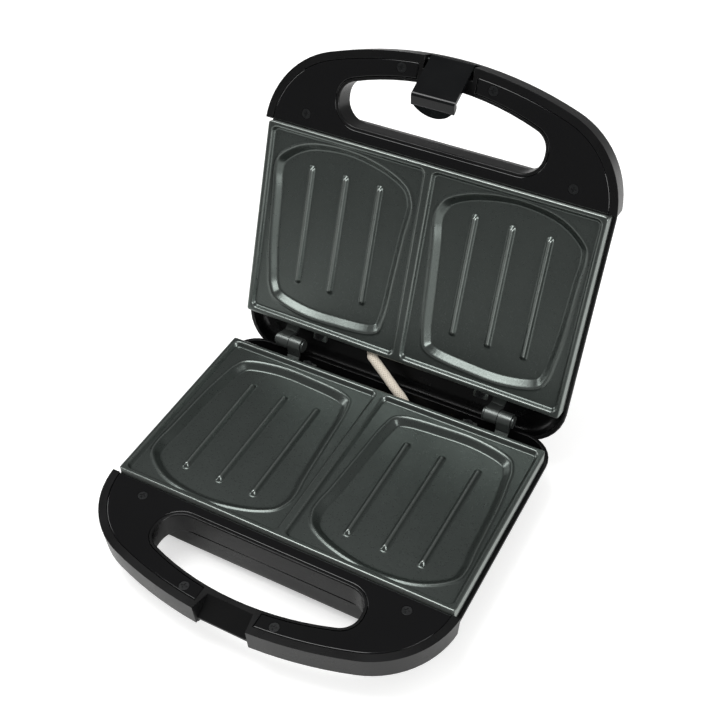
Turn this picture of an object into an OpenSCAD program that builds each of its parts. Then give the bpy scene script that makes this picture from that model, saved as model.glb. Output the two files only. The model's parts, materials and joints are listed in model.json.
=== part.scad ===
// Two-slice sandwich toaster, shown open.
//
// Everything is first drawn as one half lying face up: the plate's rim is at z = 0,
// its back edge at y = 0, the handle points along -Y and the shell hangs below.
// in_base() sets that half on its feet. in_lid() turns a half over about Y and
// swings it up about the hinge, so that both halves share their modules.

/* [Hinge and stance] */
// Angle of the lid in its open stop
lid_open = 110; // [60:1:114]
// Height of the plates' mating plane above the table
mating_h = 42; // [40:0.5:50]
// Hinge axis behind the plates' back edge
hinge_back = 12.7; // [12:0.1:14]
// Gap left between the two rims when the lid is shut
plate_gap = 0.6; // [0.4:0.1:1]

/* [Plates] */
// Width of a plate
plate_w = 230; // [222:1:232]
// Depth of a plate from back edge to handle
plate_d = 134.5; // [130:0.5:142]
// Height of the rim above the flat land round the cavities
rim_h = 3.2; // [2:0.1:4]
// Width of the rim round the plate
rim_w = 3; // [2:0.1:4]
// Width of the ridge between the two halves of a plate
divider_w = 5; // [3:0.5:8]
// Radius of the land's inner corners
land_r = 4; // [2:0.5:8]
// Thickness of the cast plate
casting_t = 3; // [2:0.1:3.2]
// Depth of a cavity below the land
cavity_h = 4; // [2:0.1:4.2]
// Width of a cavity's sloping wall
cavity_slope = 3.8; // [2:0.1:5]
// Distance of a cavity's middle from the plate's middle
cavity_x = 57.7; // [56:0.1:59]
// Width of a cavity at its handle end
cavity_front_w = 98.6; // [80:0.2:100]
// Width of a cavity at its hinge end
cavity_back_w = 85.2; // [70:0.2:92]
// Distance of a cavity's domed end from the plate's back edge
cavity_front_y = 129; // [122:0.5:129.5]
// Distance of a cavity's bowed end from the plate's back edge
cavity_back_y = 8.8; // [7:0.2:14]
// Radius of a cavity's domed end
dome_r = 73; // [65:1:90]
// Radius of a cavity's bowed end
bow_r = 168; // [140:1:260]
// Radius of a cavity's shoulders at the handle end
shoulder_r = 14; // [10:0.5:20]
// Radius of a cavity's corners at the hinge end
back_corner_r = 10; // [7:0.5:14]
// Distance between neighbouring ribs in a cavity
rib_pitch = 24.7; // [18:0.1:26]
// Width of a rib at its foot
rib_w = 3.6; // [2.5:0.1:5]
// Height of a rib above the cavity's floor
rib_h = 2.6; // [1.5:0.1:3]
// Distance of the ribs' front ends from the plate's back edge
rib_front_y = 111; // [100:0.5:116]
// Distance of the ribs' back ends from the plate's back edge
rib_back_y = 28; // [24:0.5:40]

/* [Handle] */
// Reach of the handle in front of the plates
handle_reach = 64.5; // [62:0.5:70]
// Width across the handle's corners
handle_w = 238; // [236:1:244]
// Radius of the handle's curved front
handle_front_r = 250; // [230:1:290]
// Radius of the handle's corners
handle_corner_r = 58; // [50:1:62]
// Height of the handle's outer wall
handle_h = 16; // [14:0.5:18]
// Inward draft of that wall from top to bottom
handle_draft = 1.2; // [0.5:0.1:2]
// Drop from the mating plane to the handle's top face
deck_drop = 3; // [2:0.1:4]
// Width of the land round the inset cover
cover_inset = 5; // [4:0.1:6]
// Thickness of the cover
cover_t = 2; // [1.5:0.1:2.4]
// Distance of the finger slot from the plates
slot_back = 10; // [9.5:0.1:11]
// Width of the finger slot across the front bar
slot_d = 37.7; // [34:0.1:38]
// Half length of the finger slot
slot_half = 68.5; // [60:0.5:70]
// Radius of the slot's curved front edge
slot_front_r = 180; // [170:1:220]
// Radius of the slot's corners next to the front edge
slot_front_corner_r = 12; // [9:0.5:14]
// Radius of the slot's corners next to the plates
slot_back_corner_r = 14; // [10:0.5:15]
// Thickness of the collar round the slot
collar_t = 2; // [1.5:0.1:2.5]

/* [Shells] */
// Wall thickness of both shells
wall_t = 2.2; // [1.8:0.1:2.4]
// Drop from the mating plane to the shells' side rims
side_drop = 9.3; // [8:0.1:10]
// Side clearance between plate and shell
plate_side_gap = 0.3; // [0.2:0.1:1]
// Depth of the base shell below the mating plane
base_depth = 38; // [37:0.5:38.5]
// Depth of the lid shell above the mating plane
lid_depth = 35; // [34:0.5:38]
// Bulge of the base's bottom in its middle
base_crown = 3; // [2:0.5:4]
// Bulge of the lid's top in its middle
lid_crown = 10; // [6:0.5:11]
// Reach of the base's rear wall behind the plates' back edge
base_rear = 16.6; // [16.2:0.1:16.8]
// Reach of the lid's rear wall behind the plates' back edge
lid_rear = 30.5; // [30:0.1:31.5]
// Bulge of the lid's rear wall below its rim
lid_belly = 3.5; // [3:0.1:4]
// Inward lean of the base's rear wall, in mm per mm
base_lean = 0.12; // [0.05:0.01:0.2]
// Corner radius at the back of the base
base_corner_r = 20; // [16:1:24]
// Corner radius at the back of the lid
lid_corner_r = 27; // [24:1:30]

/* [Hinge straps] */
// Distance between the two hinges
hinge_pitch = 155; // [150:0.5:160]
// Width of a hinge strap
strap_w = 8.8; // [7.5:0.1:9]
// Gap between a base strap and a lid strap
strap_gap = 0.4; // [0.3:0.1:1]
// Thickness of a strap
strap_t = 2; // [1.6:0.1:2.2]
// Diameter of a hinge pin
pin_d = 6.2; // [5:0.1:6.4]
// Radial clearance of a pin in its knuckles
pin_play = 0.05; // [0.02:0.01:0.1]

/* [Latch] */
// Width of the latch
latch_w = 28.4; // [26:0.2:29]
// Thickness of the latch
latch_t = 2.4; // [2:0.1:2.6]
// Angle that the latch swings in from its shut position
latch_swing = 43; // [35:1:44]
// Distance of the latch's pivot behind the handle's front
latch_pivot_back = 3.8; // [3.7:0.1:4.2]
// Distance of the latch's pivot from the mating plane
latch_pivot_h = 9; // [8.5:0.1:9.5]
// Diameter of the latch's pin
latch_pin_d = 2.6; // [2:0.1:3]
// Outer radius of the latch's barrel
latch_barrel_r = 3.4; // [3.2:0.1:3.4]
// Length of the hook that reaches under the base's handle
latch_hook = 6.7; // [5:0.1:8]
// Length of the rounded lip beyond the hook
latch_lip = 6.4; // [4:0.1:7]

/* [Heating] */
// Diameter of a heating rod
rod_d = 6.5; // [5:0.1:7]
// Distance between the two runs of a rod
rod_pitch = 74; // [60:1:80]
// Depth of a reflector's floor below the mating plane
reflector_depth = 22.5; // [22:0.1:23]
// Sheet thickness of a reflector
reflector_t = 0.8; // [0.6:0.1:1]

/* [Connecting lead] */
// Diameter of the sleeved lead between base and lid
lead_d = 6.6; // [5:0.1:7]

/* [Hidden] */

// Small distances used throughout
eps = 0.01;
seat_gap = 0.1;
fit_gap = 0.15;
past = 1;
far = 100;

// Plate levels below the mating plane
rim_z = -plate_gap / 2;
land_z = rim_z - rim_h;
cavity_z = land_z - cavity_h;
plate_under_z = cavity_z - casting_t;
land_under_z = land_z - casting_t;
rib_rise = 0.9;

// Drops of a cavity's back corners and front shoulders from the arcs beside them
bow_drop = 3.2;
shoulder_drop = 45;

// Handle levels and the centres of its arcs
front_y = -plate_d - handle_reach;
deck_z = -deck_drop;
cover_under_z = deck_z - cover_t;
handle_under_z = deck_z - handle_h;
handle_floor_t = 2;
handle_back_y = -plate_d - 0.6;
handle_arc_y = front_y + handle_front_r;
handle_corner_x = handle_w / 2 - handle_corner_r;
handle_corner_y = handle_arc_y - sqrt(pow(handle_front_r - handle_corner_r, 2) - pow(handle_corner_x, 2));
handle_tangent = atan2(handle_arc_y - handle_corner_y, handle_corner_x);

// Slot levels and the centres of its arcs
slot_back_y = -plate_d - slot_back;
slot_front_y = slot_back_y - slot_d;
slot_arc_y = slot_front_y + slot_front_r;
slot_corner_x = slot_half - slot_front_corner_r;
slot_corner_y = slot_arc_y - sqrt(pow(slot_front_r - slot_front_corner_r, 2) - pow(slot_corner_x, 2));
slot_tangent = atan2(slot_arc_y - slot_corner_y, slot_corner_x);

// Shell plan
shell_half = plate_w / 2 + plate_side_gap + wall_t;
shell_front_y = slot_back_y + 0.5;
shell_front_r = 12;
edge_in = 11;
rear_edge_in = 9.5;
side_draft = 0.2;
curve_top = 0.5 - plate_under_z;
crown_rear_in = 40;
front_edge_in = 1.5;
least_r = 6;

// Shells: depth, crown, rear reach, corner radius, rear belly and rear lean
base_shell = [base_depth, base_crown, base_rear, base_corner_r, 0, base_lean];
lid_shell = [lid_depth, lid_crown, lid_rear, lid_corner_r, lid_belly, 0];

// Screws
screw_r = 1.5;
slot_w = 0.9;
slot_deep = 0.6;

// Cover screws, the same on both halves
cover_screw_x = [30, 90];
cover_screw_y = [front_y + 11.3, -plate_d - 9.6];
cover_boss_r = 3.4;

// Plate ears and their screws
ear_x = 60;
ear_w = 10;
ear_t = 2.5;
ear_rear = 8.5;
ear_front = 6.2;
ear_screw_rear_y = 4.5;
ear_screw_front_y = -plate_d - 3.4;
ear_head_r = 3.1;
ear_head_h = 2.2;
ear_boss_r = 4.2;
ear_screw_len = 9;
cover_screw_len = 8;
cover_head_r = 3.1;
cover_head_h = 1.2;
screw_play = 0.05;

// Hinge knuckles: the base's are at the odd places, the lid's at the mirrored ones
knuckle_r = pin_d / 2 + pin_play + strap_t;
pin_head_t = 1.4;
pin_head_rim = 1;
pin_end_play = 0.6;
strap_pitch = strap_w + strap_gap;
base_hinge_x = [(strap_pitch - hinge_pitch) / 2, (hinge_pitch + strap_pitch) / 2];
strap_tail_z = plate_under_z - 0.4;
strap_tail_len = 17;
strap_set = 0.05;
strap_gap_end = 0.4;
leg_top_z = 0.6;
leg_bend = 5.2;
strap_screw_y = [-7, -13];
strap_head_r = 2.8;
strap_head_h = 1.1;
strap_seat_z = strap_tail_z - strap_t;
strap_screw_len = 9;

// Latch, in the frame of a half lying face up
latch_y = front_y + latch_pivot_back;
latch_inner = latch_barrel_r - latch_t;
catch_raise = 2;
catch_gap = 0.5;
latch_catch = latch_pivot_h + deck_drop + handle_h - catch_raise + catch_gap;
latch_edge = latch_catch + 2;
hook_slope = 2.8;
lip_t = 1.8;
lip_half = 12.4;
lip_slope = 1.7;
latch_pin_len = 37.6;
notch_half = 16.2;
notch_h = 11;
notch_back = 8.5;
recess_half = 15.2;
recess_flare = 18;
recess_lip = 3.2;
recess_ledge = 3.8;
recess_drop = 12;
centre_half = 19;

// Heating parts
rod_z = plate_under_z - rod_d / 2 - 0.3;
rod_mid_y = -71;
rod_left = -41;
rod_right = 62;
rod_bend = 6;
rod_via = [30, 0];
rod_end_z = rod_z - 13;
bushing_r = 5;
bushing_flange_r = 6.2;
bushing_flange_h = 2;
bushing_end_z = -24.2;
clamp_x = 40;
clamp_w = 10;
clamp_t = 1.2;
clamp_over = 5;
clamp_head_r = 2.6;
clamp_head_h = 1.4;
clamp_top_z = rod_z - rod_d / 2 - seat_gap;
stud_r = 4;
stud_bore_h = 5;
tray_half = 84;
tray_corner_r = 6;
tray_front_y = -120;
tray_back_y = -24;
tray_top_z = plate_under_z - 0.4;
tray_under_z = -reflector_depth;
tray_floor_z = tray_under_z + reflector_t;
post_x = 76;
post_y = [-96, -46];
post_r = 4;
spigot_r = 1.6;
spigot_h = 2;
hole_play = 0.2;
thermostat_at = [20, -71];
thermostat_r = 8.5;
thermostat_flange_r = 10.5;
thermostat_end_z = -28;

// Feet
foot_r = 8;
foot_seat_z = -base_depth + 0.4;
foot_x = 84;
foot_y = [-118, -2];
foot_plug_r = 3;
foot_plug_top_z = -33.6;
foot_boss_r = 9;
foot_bottom_z = -mating_h;

// Gland for the supply cord
gland_x = 40;
gland_z = -27;
gland_r = 4.2;
gland_flange_r = 6;
gland_face_y = base_rear - 1;
gland_flange_t = 2;
gland_neck_end_y = 8.6;
gland_boss_r = 7.5;
gland_boss_y = 10;
gland_bore_r = 3.1;

// Terminal blocks: middle and size, in the frame of a half lying face up
base_block = [28, -21.2, -28];
lid_block = [54.5, -8, -23];
block_size = [20, 11, 9];
block_bore_r = 1.4;

// Route of the sleeved lead: up out of the base and past the hinge, in the base's
// frame, then on into the lid, in the shut lid's frame
lead_base_route = [
  [22.5, -15.3, -28], [22.5, -9, -28], [20, -1, -25], [17, 4, -19], [12, 8, -12],
  [4, 11, -7], [-3, 14, -3], [-11, 17, 2]];
lead_lid_route = [
  [-18, 5, 5], [-20, 7, 10], [-24, 6, 16], [-29, 1, 21], [-36, -7, 23], [-44.4, -8, 23]];
lead_sides = 12;
lead_steps = 3;

// Single leads inside each half
wire_r = 1.3;
wire_z = -25.7;
wire_sides = 8;
fuse_x = 32;
fuse_y = [-104, -88];
fuse_r = 2.4;
wire_gap = 0.2;
rod_touch = rod_d / 2 + wire_gap;
rod_end_y = [rod_mid_y + rod_pitch / 2, rod_mid_y - rod_pitch / 2];
base_block_y = [base_block[1] - block_size[1] / 2 - wire_gap, base_block[1] + block_size[1] / 2 + wire_gap];
lid_block_y = lid_block[1] - block_size[1] / 2 - wire_gap;
base_rear_wire = [[34, base_block_y[0]], [35, -31], [44, rod_end_y[0]], [rod_right - rod_touch, rod_end_y[0]]];
base_fuse_wire = [[29, base_block_y[0]], [29.5, -40], [32, -60], [fuse_x, -80], [fuse_x, fuse_y[1] + wire_gap]];
base_front_wire = [
  [fuse_x, fuse_y[0] - wire_gap], [fuse_x + 0.6, -106.4], [36.5, -108.6], [46, rod_end_y[1]],
  [rod_right - rod_touch, rod_end_y[1]]];
base_control_wire = [
  [21, base_block_y[0]], [21, -40], [thermostat_at[0], thermostat_at[1] + thermostat_r + wire_gap]];
supply_wire_left = [[38.4, 8.5], [37, 2], [32, -7], [31, base_block_y[1]]];
supply_wire_right = [[41.6, 8.5], [41, 2], [36.5, -7], [35.5, base_block_y[1]]];
lid_rear_wire = [[60, lid_block_y], [61, -22], [rod_right, rod_end_y[0] + rod_touch]];
lid_front_wire = [
  [50, lid_block_y], [50, -40], [50, -75], [52, -98], [56, -107], [rod_right - rod_touch, rod_end_y[1]]];

// The open part is centred over the origin, lid included
open_rear_y = hinge_back - (front_y - hinge_back) * -cos(lid_open) + (deck_drop + handle_h) * sin(lid_open);
mid_y = (front_y + open_rear_y) / 2;

// ---- Placing ----

module in_base() {
  translate([0, -mid_y, mating_h]) children();
}

module in_lid() {
  in_base()
    translate([0, hinge_back, 0])
      rotate([-lid_open, 0, 0])
        translate([0, -hinge_back, 0])
          rotate([0, 180, 0]) children();
}

// Puts children at each mirrored pair of places
module at_both_sides(x, y) {
  for (side = [-1, 1]) translate([side * x, y, 0]) children();
}

// ---- Outlines ----

function arc(c, r, from, to, steps) =
  [for (i = [0 : steps]) let (a = from + (to - from) * i / steps) c + r * [cos(a), sin(a)]];

// Handle outline, closed along a straight line at y = back
function handle_points(inset = 0, back = handle_back_y) =
  let (corner_r = handle_corner_r - inset, start = min(0, asin(min(1, (back - handle_corner_y) / corner_r))))
  concat(
    arc([handle_corner_x, handle_corner_y], corner_r, start, -handle_tangent, 14),
    arc([0, handle_arc_y], handle_front_r - inset, -handle_tangent - 2, handle_tangent - 178, 16),
    arc([-handle_corner_x, handle_corner_y], corner_r, handle_tangent - 180, -180 - start, 14),
    back > handle_corner_y ? [[inset - handle_w / 2, back], [handle_w / 2 - inset, back]] : []);

// Finger slot outline, grown by a margin
module slot_outline(grow = 0) {
  back_x = slot_half - slot_back_corner_r;
  back_y = slot_back_y - slot_back_corner_r;
  back_r = slot_back_corner_r + grow;
  front_r = slot_front_corner_r + grow;
  polygon(concat(
    arc([back_x, back_y], back_r, 90, 0, 8),
    arc([slot_corner_x, slot_corner_y], front_r, 0, -slot_tangent, 8),
    arc([0, slot_arc_y], slot_front_r + grow, -slot_tangent - 3, slot_tangent - 177, 12),
    arc([-slot_corner_x, slot_corner_y], front_r, slot_tangent - 180, -180, 8),
    arc([-back_x, back_y], back_r, 180, 90, 8)));
}

// Strip in the middle of the front bar that the cover leaves free for the latch
module centre_strip(half) {
  translate([-half, front_y - past]) square([2 * half, slot_front_y - front_y + past]);
}

// Ring of a shell at one depth, with its own inset at the sides, the back and the front
function shell_ring(depth, side_in, rear_in, front_in, s) =
  let (half = shell_half - side_in, back = s[2] - rear_in, front = shell_front_y + front_in,
       rear_r = max(least_r, min(s[3], s[3] - side_in / 3)), front_r = max(least_r, shell_front_r - side_in / 2))
  [for (q = concat(
      arc([half - rear_r, back - rear_r], rear_r, 0, 90, 8),
      arc([rear_r - half, back - rear_r], rear_r, 90, 180, 8),
      arc([front_r - half, front + front_r], front_r, 180, 270, 5),
      arc([half - front_r, front + front_r], front_r, 270, 360, 5)))
    [q[0], q[1], -depth]];

// ---- General shapes ----

// Outline of a rectangle with round corners, as points
function round_corners(x1, y1, x2, y2, r) = concat(
  arc([x2 - r, y2 - r], r, 0, 90, 6),
  arc([x1 + r, y2 - r], r, 90, 180, 6),
  arc([x1 + r, y1 + r], r, 180, 270, 6),
  arc([x2 - r, y1 + r], r, 270, 360, 6));

// Prism with round upright corners
module round_block(x1, y1, x2, y2, r, z1, z2) {
  translate([0, 0, z1]) linear_extrude(z2 - z1) polygon(round_corners(x1, y1, x2, y2, r));
}

// Profile in the YZ plane, extruded along X and centred
module across(width) {
  translate([-width / 2, 0, 0]) rotate([90, 0, 90]) linear_extrude(width) children();
}

// Pan-headed screw that points down, with the head's underside at z = 0
module screw(head_r, head_h, length) {
  difference() {
    union() {
      cylinder(r = head_r, h = head_h, $fn = 40);
      translate([0, 0, -length]) cylinder(r = screw_r, h = length + head_h / 2, $fn = 24);
    }
    for (turn = [0, 90])
      rotate([0, 0, turn])
        translate([-head_r * 0.6, -slot_w / 2, head_h - slot_deep]) cube([head_r * 1.2, slot_w, slot_deep + past]);
  }
}

// Hole for such a screw, with a counterbore for its head
module screw_hole(head_r, length) {
  translate([0, 0, -length - fit_gap]) cylinder(r = screw_r + screw_play, h = length + fit_gap + past, $fn = 24);
  cylinder(r = head_r + fit_gap, h = far, $fn = 40);
}

function unit(v) = v / norm(v);

// Smooth path through all the points of p, with n steps to each stretch
function smooth(p, n) = concat(
  [for (i = [0 : len(p) - 2], k = [0 : n - 1])
    on_curve(p[max(0, i - 1)], p[i], p[i + 1], p[min(len(p) - 1, i + 2)], k / n)],
  [p[len(p) - 1]]);

function on_curve(a, b, c, d, t) =
  b + ((c - a) * t + (2 * a - 5 * b + 4 * c - d) * t * t + (3 * b - a - 3 * c + d) * t * t * t) / 2;

// Direction of a path at one of its points, and a side vector carried along it without twist
function heading(p, i) = unit(p[min(len(p) - 1, i + 1)] - p[max(0, i - 1)]);

function carried(p, i, side) =
  let (h = heading(p, i), s = unit(side - h * (side * h)))
  i == len(p) - 1 ? [s] : concat([s], carried(p, i + 1, s));

// Round tube along a path
module tube(p, r, sides) {
  n = len(p);
  side = carried(p, 0, abs(heading(p, 0)[2]) > 0.9 ? [1, 0, 0] : [0, 0, 1]);
  points = [for (i = [0 : n - 1], k = [0 : sides - 1])
    let (b = cross(heading(p, i), side[i]), a = 360 * k / sides) p[i] + r * (side[i] * cos(a) + b * sin(a))];
  first = [for (k = [0 : sides - 1]) k];
  last = [for (k = [sides - 1 : -1 : 0]) (n - 1) * sides + k];
  skin = [for (i = [0 : n - 2], k = [0 : sides - 1])
    let (a = i * sides + k, b = i * sides + (k + 1) % sides) [a, a + sides, b + sides, b]];
  polyhedron(points, concat([first], skin, [last]), convexity = 8);
}

// Single lead at one height, through the points of a flat route
module wire(route, z = wire_z) {
  tube(smooth([for (q = route) [q[0], q[1], z]], 3), wire_r, wire_sides);
}

// ---- Shells ----

// Solid through a pile of rings with the same number of points: counterclockwise from
// the top down, or clockwise from the bottom up
module piled(rings) {
  n = len(rings[0]);
  first = [for (k = [n - 1 : -1 : 0]) k];
  last = [for (k = [0 : n - 1]) (len(rings) - 1) * n + k];
  skin = [for (i = [0 : len(rings) - 2], k = [0 : n - 1], half = [0, 1])
    let (a = i * n + k, b = i * n + (k + 1) % n) half == 0 ? [a, b, b + n] : [a, b + n, a + n]];
  polyhedron([for (ring = rings) each ring], concat([first], skin, [last]), convexity = 6);
}

// Solid shell form: an upright band at the rim, rounded sides and a shallow crown.
// s holds depth, crown, rear reach, corner radius, rear belly and rear lean;
// thinner moves every wall in by that much, and lifts the bottom by it.
module shell_form(s, thinner = 0) {
  edge_depth = s[0] - s[1];
  crown_in = shell_half - edge_in;
  bottom_rear_in = rear_edge_in + s[5] * (edge_depth - curve_top);
  piled(concat(
    [shell_ring(side_drop - (thinner > 0 ? 2 * past : 0), thinner, s[4] + thinner, thinner, s)],
    [for (t = [0 : 10 : 90])
      let (z = curve_top + (edge_depth - curve_top) * sin(t), turned = 1 - cos(t),
           round_in = edge_in * turned + side_draft * (z - curve_top) * cos(t),
           rear_in = s[4] * pow(1 - sin(t), 2) + rear_edge_in * pow(turned, 2) + s[5] * (z - curve_top))
      shell_ring(z - thinner * sin(t), round_in + thinner, rear_in + thinner, thinner + front_edge_in * turned, s)],
    [for (k = [0.3, 0.6, 0.85])
      shell_ring(edge_depth + s[1] * (1 - pow(1 - k, 2)) - thinner, edge_in + crown_in * k * 0.9 + thinner,
                 bottom_rear_in + crown_rear_in * k + thinner, thinner + front_edge_in + 4 * k * k, s)]));
}

// Handle block with drafted outer wall
module handle_form() {
  piled([
    [for (q = handle_points(handle_draft)) [q[0], q[1], handle_under_z]],
    [for (q = handle_points()) [q[0], q[1], deck_z]]]);
}

// Hollow of the handle, clear of the slot's collar and of the latch's middle block
module handle_hollow() {
  translate([0, 0, handle_under_z + handle_floor_t])
    linear_extrude(handle_h)
      difference() {
        polygon(handle_points(cover_inset + 1.2, shell_front_y - wall_t));
        slot_outline(collar_t);
        centre_strip(centre_half);
        cover_screw_places() circle(cover_boss_r, $fn = 40);
      }
}

module cover_outline(gap) {
  difference() {
    polygon(handle_points(cover_inset + gap, handle_back_y - gap));
    slot_outline(collar_t + gap);
    centre_strip(centre_half + gap);
  }
}

// Shallow bed that the cover lies in
module cover_bed() {
  translate([0, 0, cover_under_z - seat_gap]) linear_extrude(far) cover_outline(0);
}

module cover_screw_places() {
  for (i = [0, 1]) at_both_sides(cover_screw_x[i], cover_screw_y[i]) children();
}

module ear_screw_places() {
  for (y = [ear_screw_rear_y, ear_screw_front_y]) at_both_sides(ear_x, y) children();
}

module strap_screw_places(x) {
  for (y = strap_screw_y) translate([x, y, 0]) children();
}

module post_places() {
  for (y = post_y) at_both_sides(post_x, y) children();
}

// One half's housing before its own features: shell, handle, slot and screw bosses
module housing(s, block) {
  difference() {
    union() {
      difference() {
        union() {
          shell_form(s);
          handle_form();
        }
        shell_form(s, wall_t);
        translate([-handle_w / 2 + cover_inset + 3, shell_front_y + wall_t, -side_drop - past])
          cube([handle_w - 2 * (cover_inset + 3), far, far]);
      }
      intersection() {
        shell_form(s, wall_t / 2);
        bosses(block);
      }
      cover_screw_places()
        translate([0, 0, handle_under_z + past])
          cylinder(r = cover_boss_r, h = cover_under_z - handle_under_z - past, $fn = 40);
    }
    handle_hollow();
    cover_bed();
    translate([0, 0, -far]) linear_extrude(2 * far) slot_outline();
    cover_screw_places()
      translate([0, 0, cover_under_z - cover_screw_len]) cylinder(r = screw_r + screw_play, h = far, $fn = 24);
    ear_screw_places()
      translate([0, 0, plate_under_z - ear_screw_len])
        cylinder(r = screw_r + screw_play, h = ear_screw_len, $fn = 24);
    for (x = base_hinge_x)
      strap_screw_places(x)
        translate([0, 0, strap_seat_z - strap_screw_len])
          cylinder(r = screw_r + screw_play, h = strap_screw_len, $fn = 24);
  }
}

// Posts for the plate's ears, the hinge straps, the reflector and the terminal block
module bosses(block) {
  ear_screw_places()
    translate([0, 0, -far]) cylinder(r = ear_boss_r, h = far + plate_under_z - seat_gap, $fn = 40);
  for (x = base_hinge_x)
    translate([x - strap_w / 2 - 0.6, -strap_tail_len, -far])
      cube([strap_w + 1.2, strap_tail_len - 1, far + strap_seat_z - seat_gap]);
  post_places() {
    translate([0, 0, -far]) cylinder(r = post_r, h = far + tray_under_z - seat_gap, $fn = 40);
    translate([0, 0, tray_under_z - past]) cylinder(r = spigot_r, h = spigot_h + past, $fn = 24);
  }
  translate([block[0] - block_size[0] / 2, block[1] - block_size[1] / 2, -far])
    cube([block_size[0], block_size[1], far + block[2] - block_size[2] / 2 - seat_gap]);
}

// ---- Parts that both halves have ----

module handle_cover() {
  difference() {
    translate([0, 0, cover_under_z]) linear_extrude(cover_t) cover_outline(fit_gap);
    cover_screw_places() translate([0, 0, deck_z - cover_head_h]) screw_hole(cover_head_r, cover_t);
  }
}

module cover_screws() {
  cover_screw_places()
    translate([0, 0, deck_z - cover_head_h]) screw(cover_head_r, cover_head_h, cover_screw_len - 1);
}

// Outline points of a cavity, drawn in by a margin; side is 1 or -1
function cavity_points(side, draw_in) =
  let (back_x = cavity_back_w / 2 - back_corner_r, back_y = -cavity_back_y - back_corner_r - bow_drop,
       front_x = cavity_front_w / 2 - shoulder_r, front_arc_y = dome_r - cavity_front_y,
       shoulder_y = front_arc_y - shoulder_drop, back_arc_y = -cavity_back_y - bow_r)
  [for (q = concat(
      arc([back_x, back_y], back_corner_r - draw_in, 5, 79, 8),
      arc([0, back_arc_y], bow_r - draw_in, 79, 101, 10),
      arc([-back_x, back_y], back_corner_r - draw_in, 101, 175, 8),
      arc([-front_x, shoulder_y], shoulder_r - draw_in, 185, 232, 8),
      arc([0, front_arc_y], dome_r - draw_in, 232, 308, 16),
      arc([front_x, shoulder_y], shoulder_r - draw_in, -52, -5, 8)))
    [q[0] + side * cavity_x, q[1]]];

module cavity_cutter(side) {
  hull() {
    translate([0, 0, land_z]) linear_extrude(eps) polygon(cavity_points(side, 0));
    translate([0, 0, cavity_z]) linear_extrude(eps) polygon(cavity_points(side, cavity_slope));
  }
}

// Cast underside of a cavity
module cavity_casting(side) {
  translate([0, 0, plate_under_z - past])
    linear_extrude(far) hull() polygon(cavity_points(side, -casting_t));
}

// One rib with sloping flanks and steep ends
module rib(x) {
  intersection() {
    translate([x, 0, 0])
      rotate([90, 0, 0])
        linear_extrude(plate_d)
          polygon([[-rib_w / 2, cavity_z - eps], [rib_w / 2, cavity_z - eps], [rib_w / 4, cavity_z + rib_h],
                   [-rib_w / 4, cavity_z + rib_h]]);
    translate([x, 0, 0])
      across(2 * rib_w)
        polygon([[-rib_front_y, cavity_z - eps], [-rib_back_y, cavity_z - eps],
                 [-rib_back_y - rib_rise, cavity_z + rib_h], [-rib_front_y + rib_rise, cavity_z + rib_h]]);
  }
}

module plate() {
  half = plate_w / 2;
  difference() {
    union() {
      difference() {
        round_block(-half, -plate_d, half, 0, 2.5, plate_under_z, rim_z);
        for (side = [-1, 1])
          round_block(min(side * divider_w / 2, side * (half - rim_w)), rim_w - plate_d,
                      max(side * divider_w / 2, side * (half - rim_w)), -rim_w, land_r, land_z, past);
        for (side = [-1, 1]) cavity_cutter(side);
        difference() {
          round_block(rim_w - half, rim_w - plate_d, half - rim_w, -rim_w, land_r, plate_under_z - past,
                      land_under_z);
          for (side = [-1, 1]) cavity_casting(side);
        }
      }
      for (side = [-1, 1], step = [-1, 0, 1]) rib(side * cavity_x + step * rib_pitch);
      at_both_sides(ear_x, 0)
        translate([-ear_w / 2, -plate_d - ear_front, plate_under_z]) cube([ear_w, ear_front + past, ear_t]);
      at_both_sides(ear_x, 0)
        translate([-ear_w / 2, -past, plate_under_z]) cube([ear_w, ear_rear + past, ear_t]);
      at_both_sides(clamp_x, rod_mid_y)
        translate([0, 0, clamp_top_z]) cylinder(r = stud_r, h = plate_under_z - clamp_top_z + past, $fn = 40);
    }
    ear_screw_places() translate([0, 0, plate_under_z - past]) cylinder(r = screw_r + fit_gap, h = far, $fn = 24);
    at_both_sides(clamp_x, rod_mid_y)
      translate([0, 0, clamp_top_z - past]) cylinder(r = screw_r + screw_play, h = stud_bore_h + past, $fn = 24);
  }
}

module plate_screws() {
  ear_screw_places()
    translate([0, 0, plate_under_z + ear_t + seat_gap]) screw(ear_head_r, ear_head_h, ear_t + ear_screw_len - 1);
}

module reflector(with_thermostat) {
  difference() {
    round_block(-tray_half, tray_front_y, tray_half, tray_back_y, tray_corner_r, tray_under_z, tray_top_z);
    round_block(reflector_t - tray_half, tray_front_y + reflector_t, tray_half - reflector_t,
                tray_back_y - reflector_t, tray_corner_r - reflector_t, tray_floor_z, 0);
    post_places() translate([0, 0, -far]) cylinder(r = spigot_r + hole_play, h = far, $fn = 24);
    rod_end_places() translate([0, 0, -far]) cylinder(r = bushing_r + hole_play, h = far, $fn = 40);
    if (with_thermostat)
      translate([thermostat_at[0], thermostat_at[1], -far])
        cylinder(r = thermostat_r + hole_play, h = far, $fn = 48);
  }
}

module rod_end_places() {
  for (side = [-1, 1]) translate([rod_right, rod_mid_y + side * rod_pitch / 2, 0]) children();
}

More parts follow.
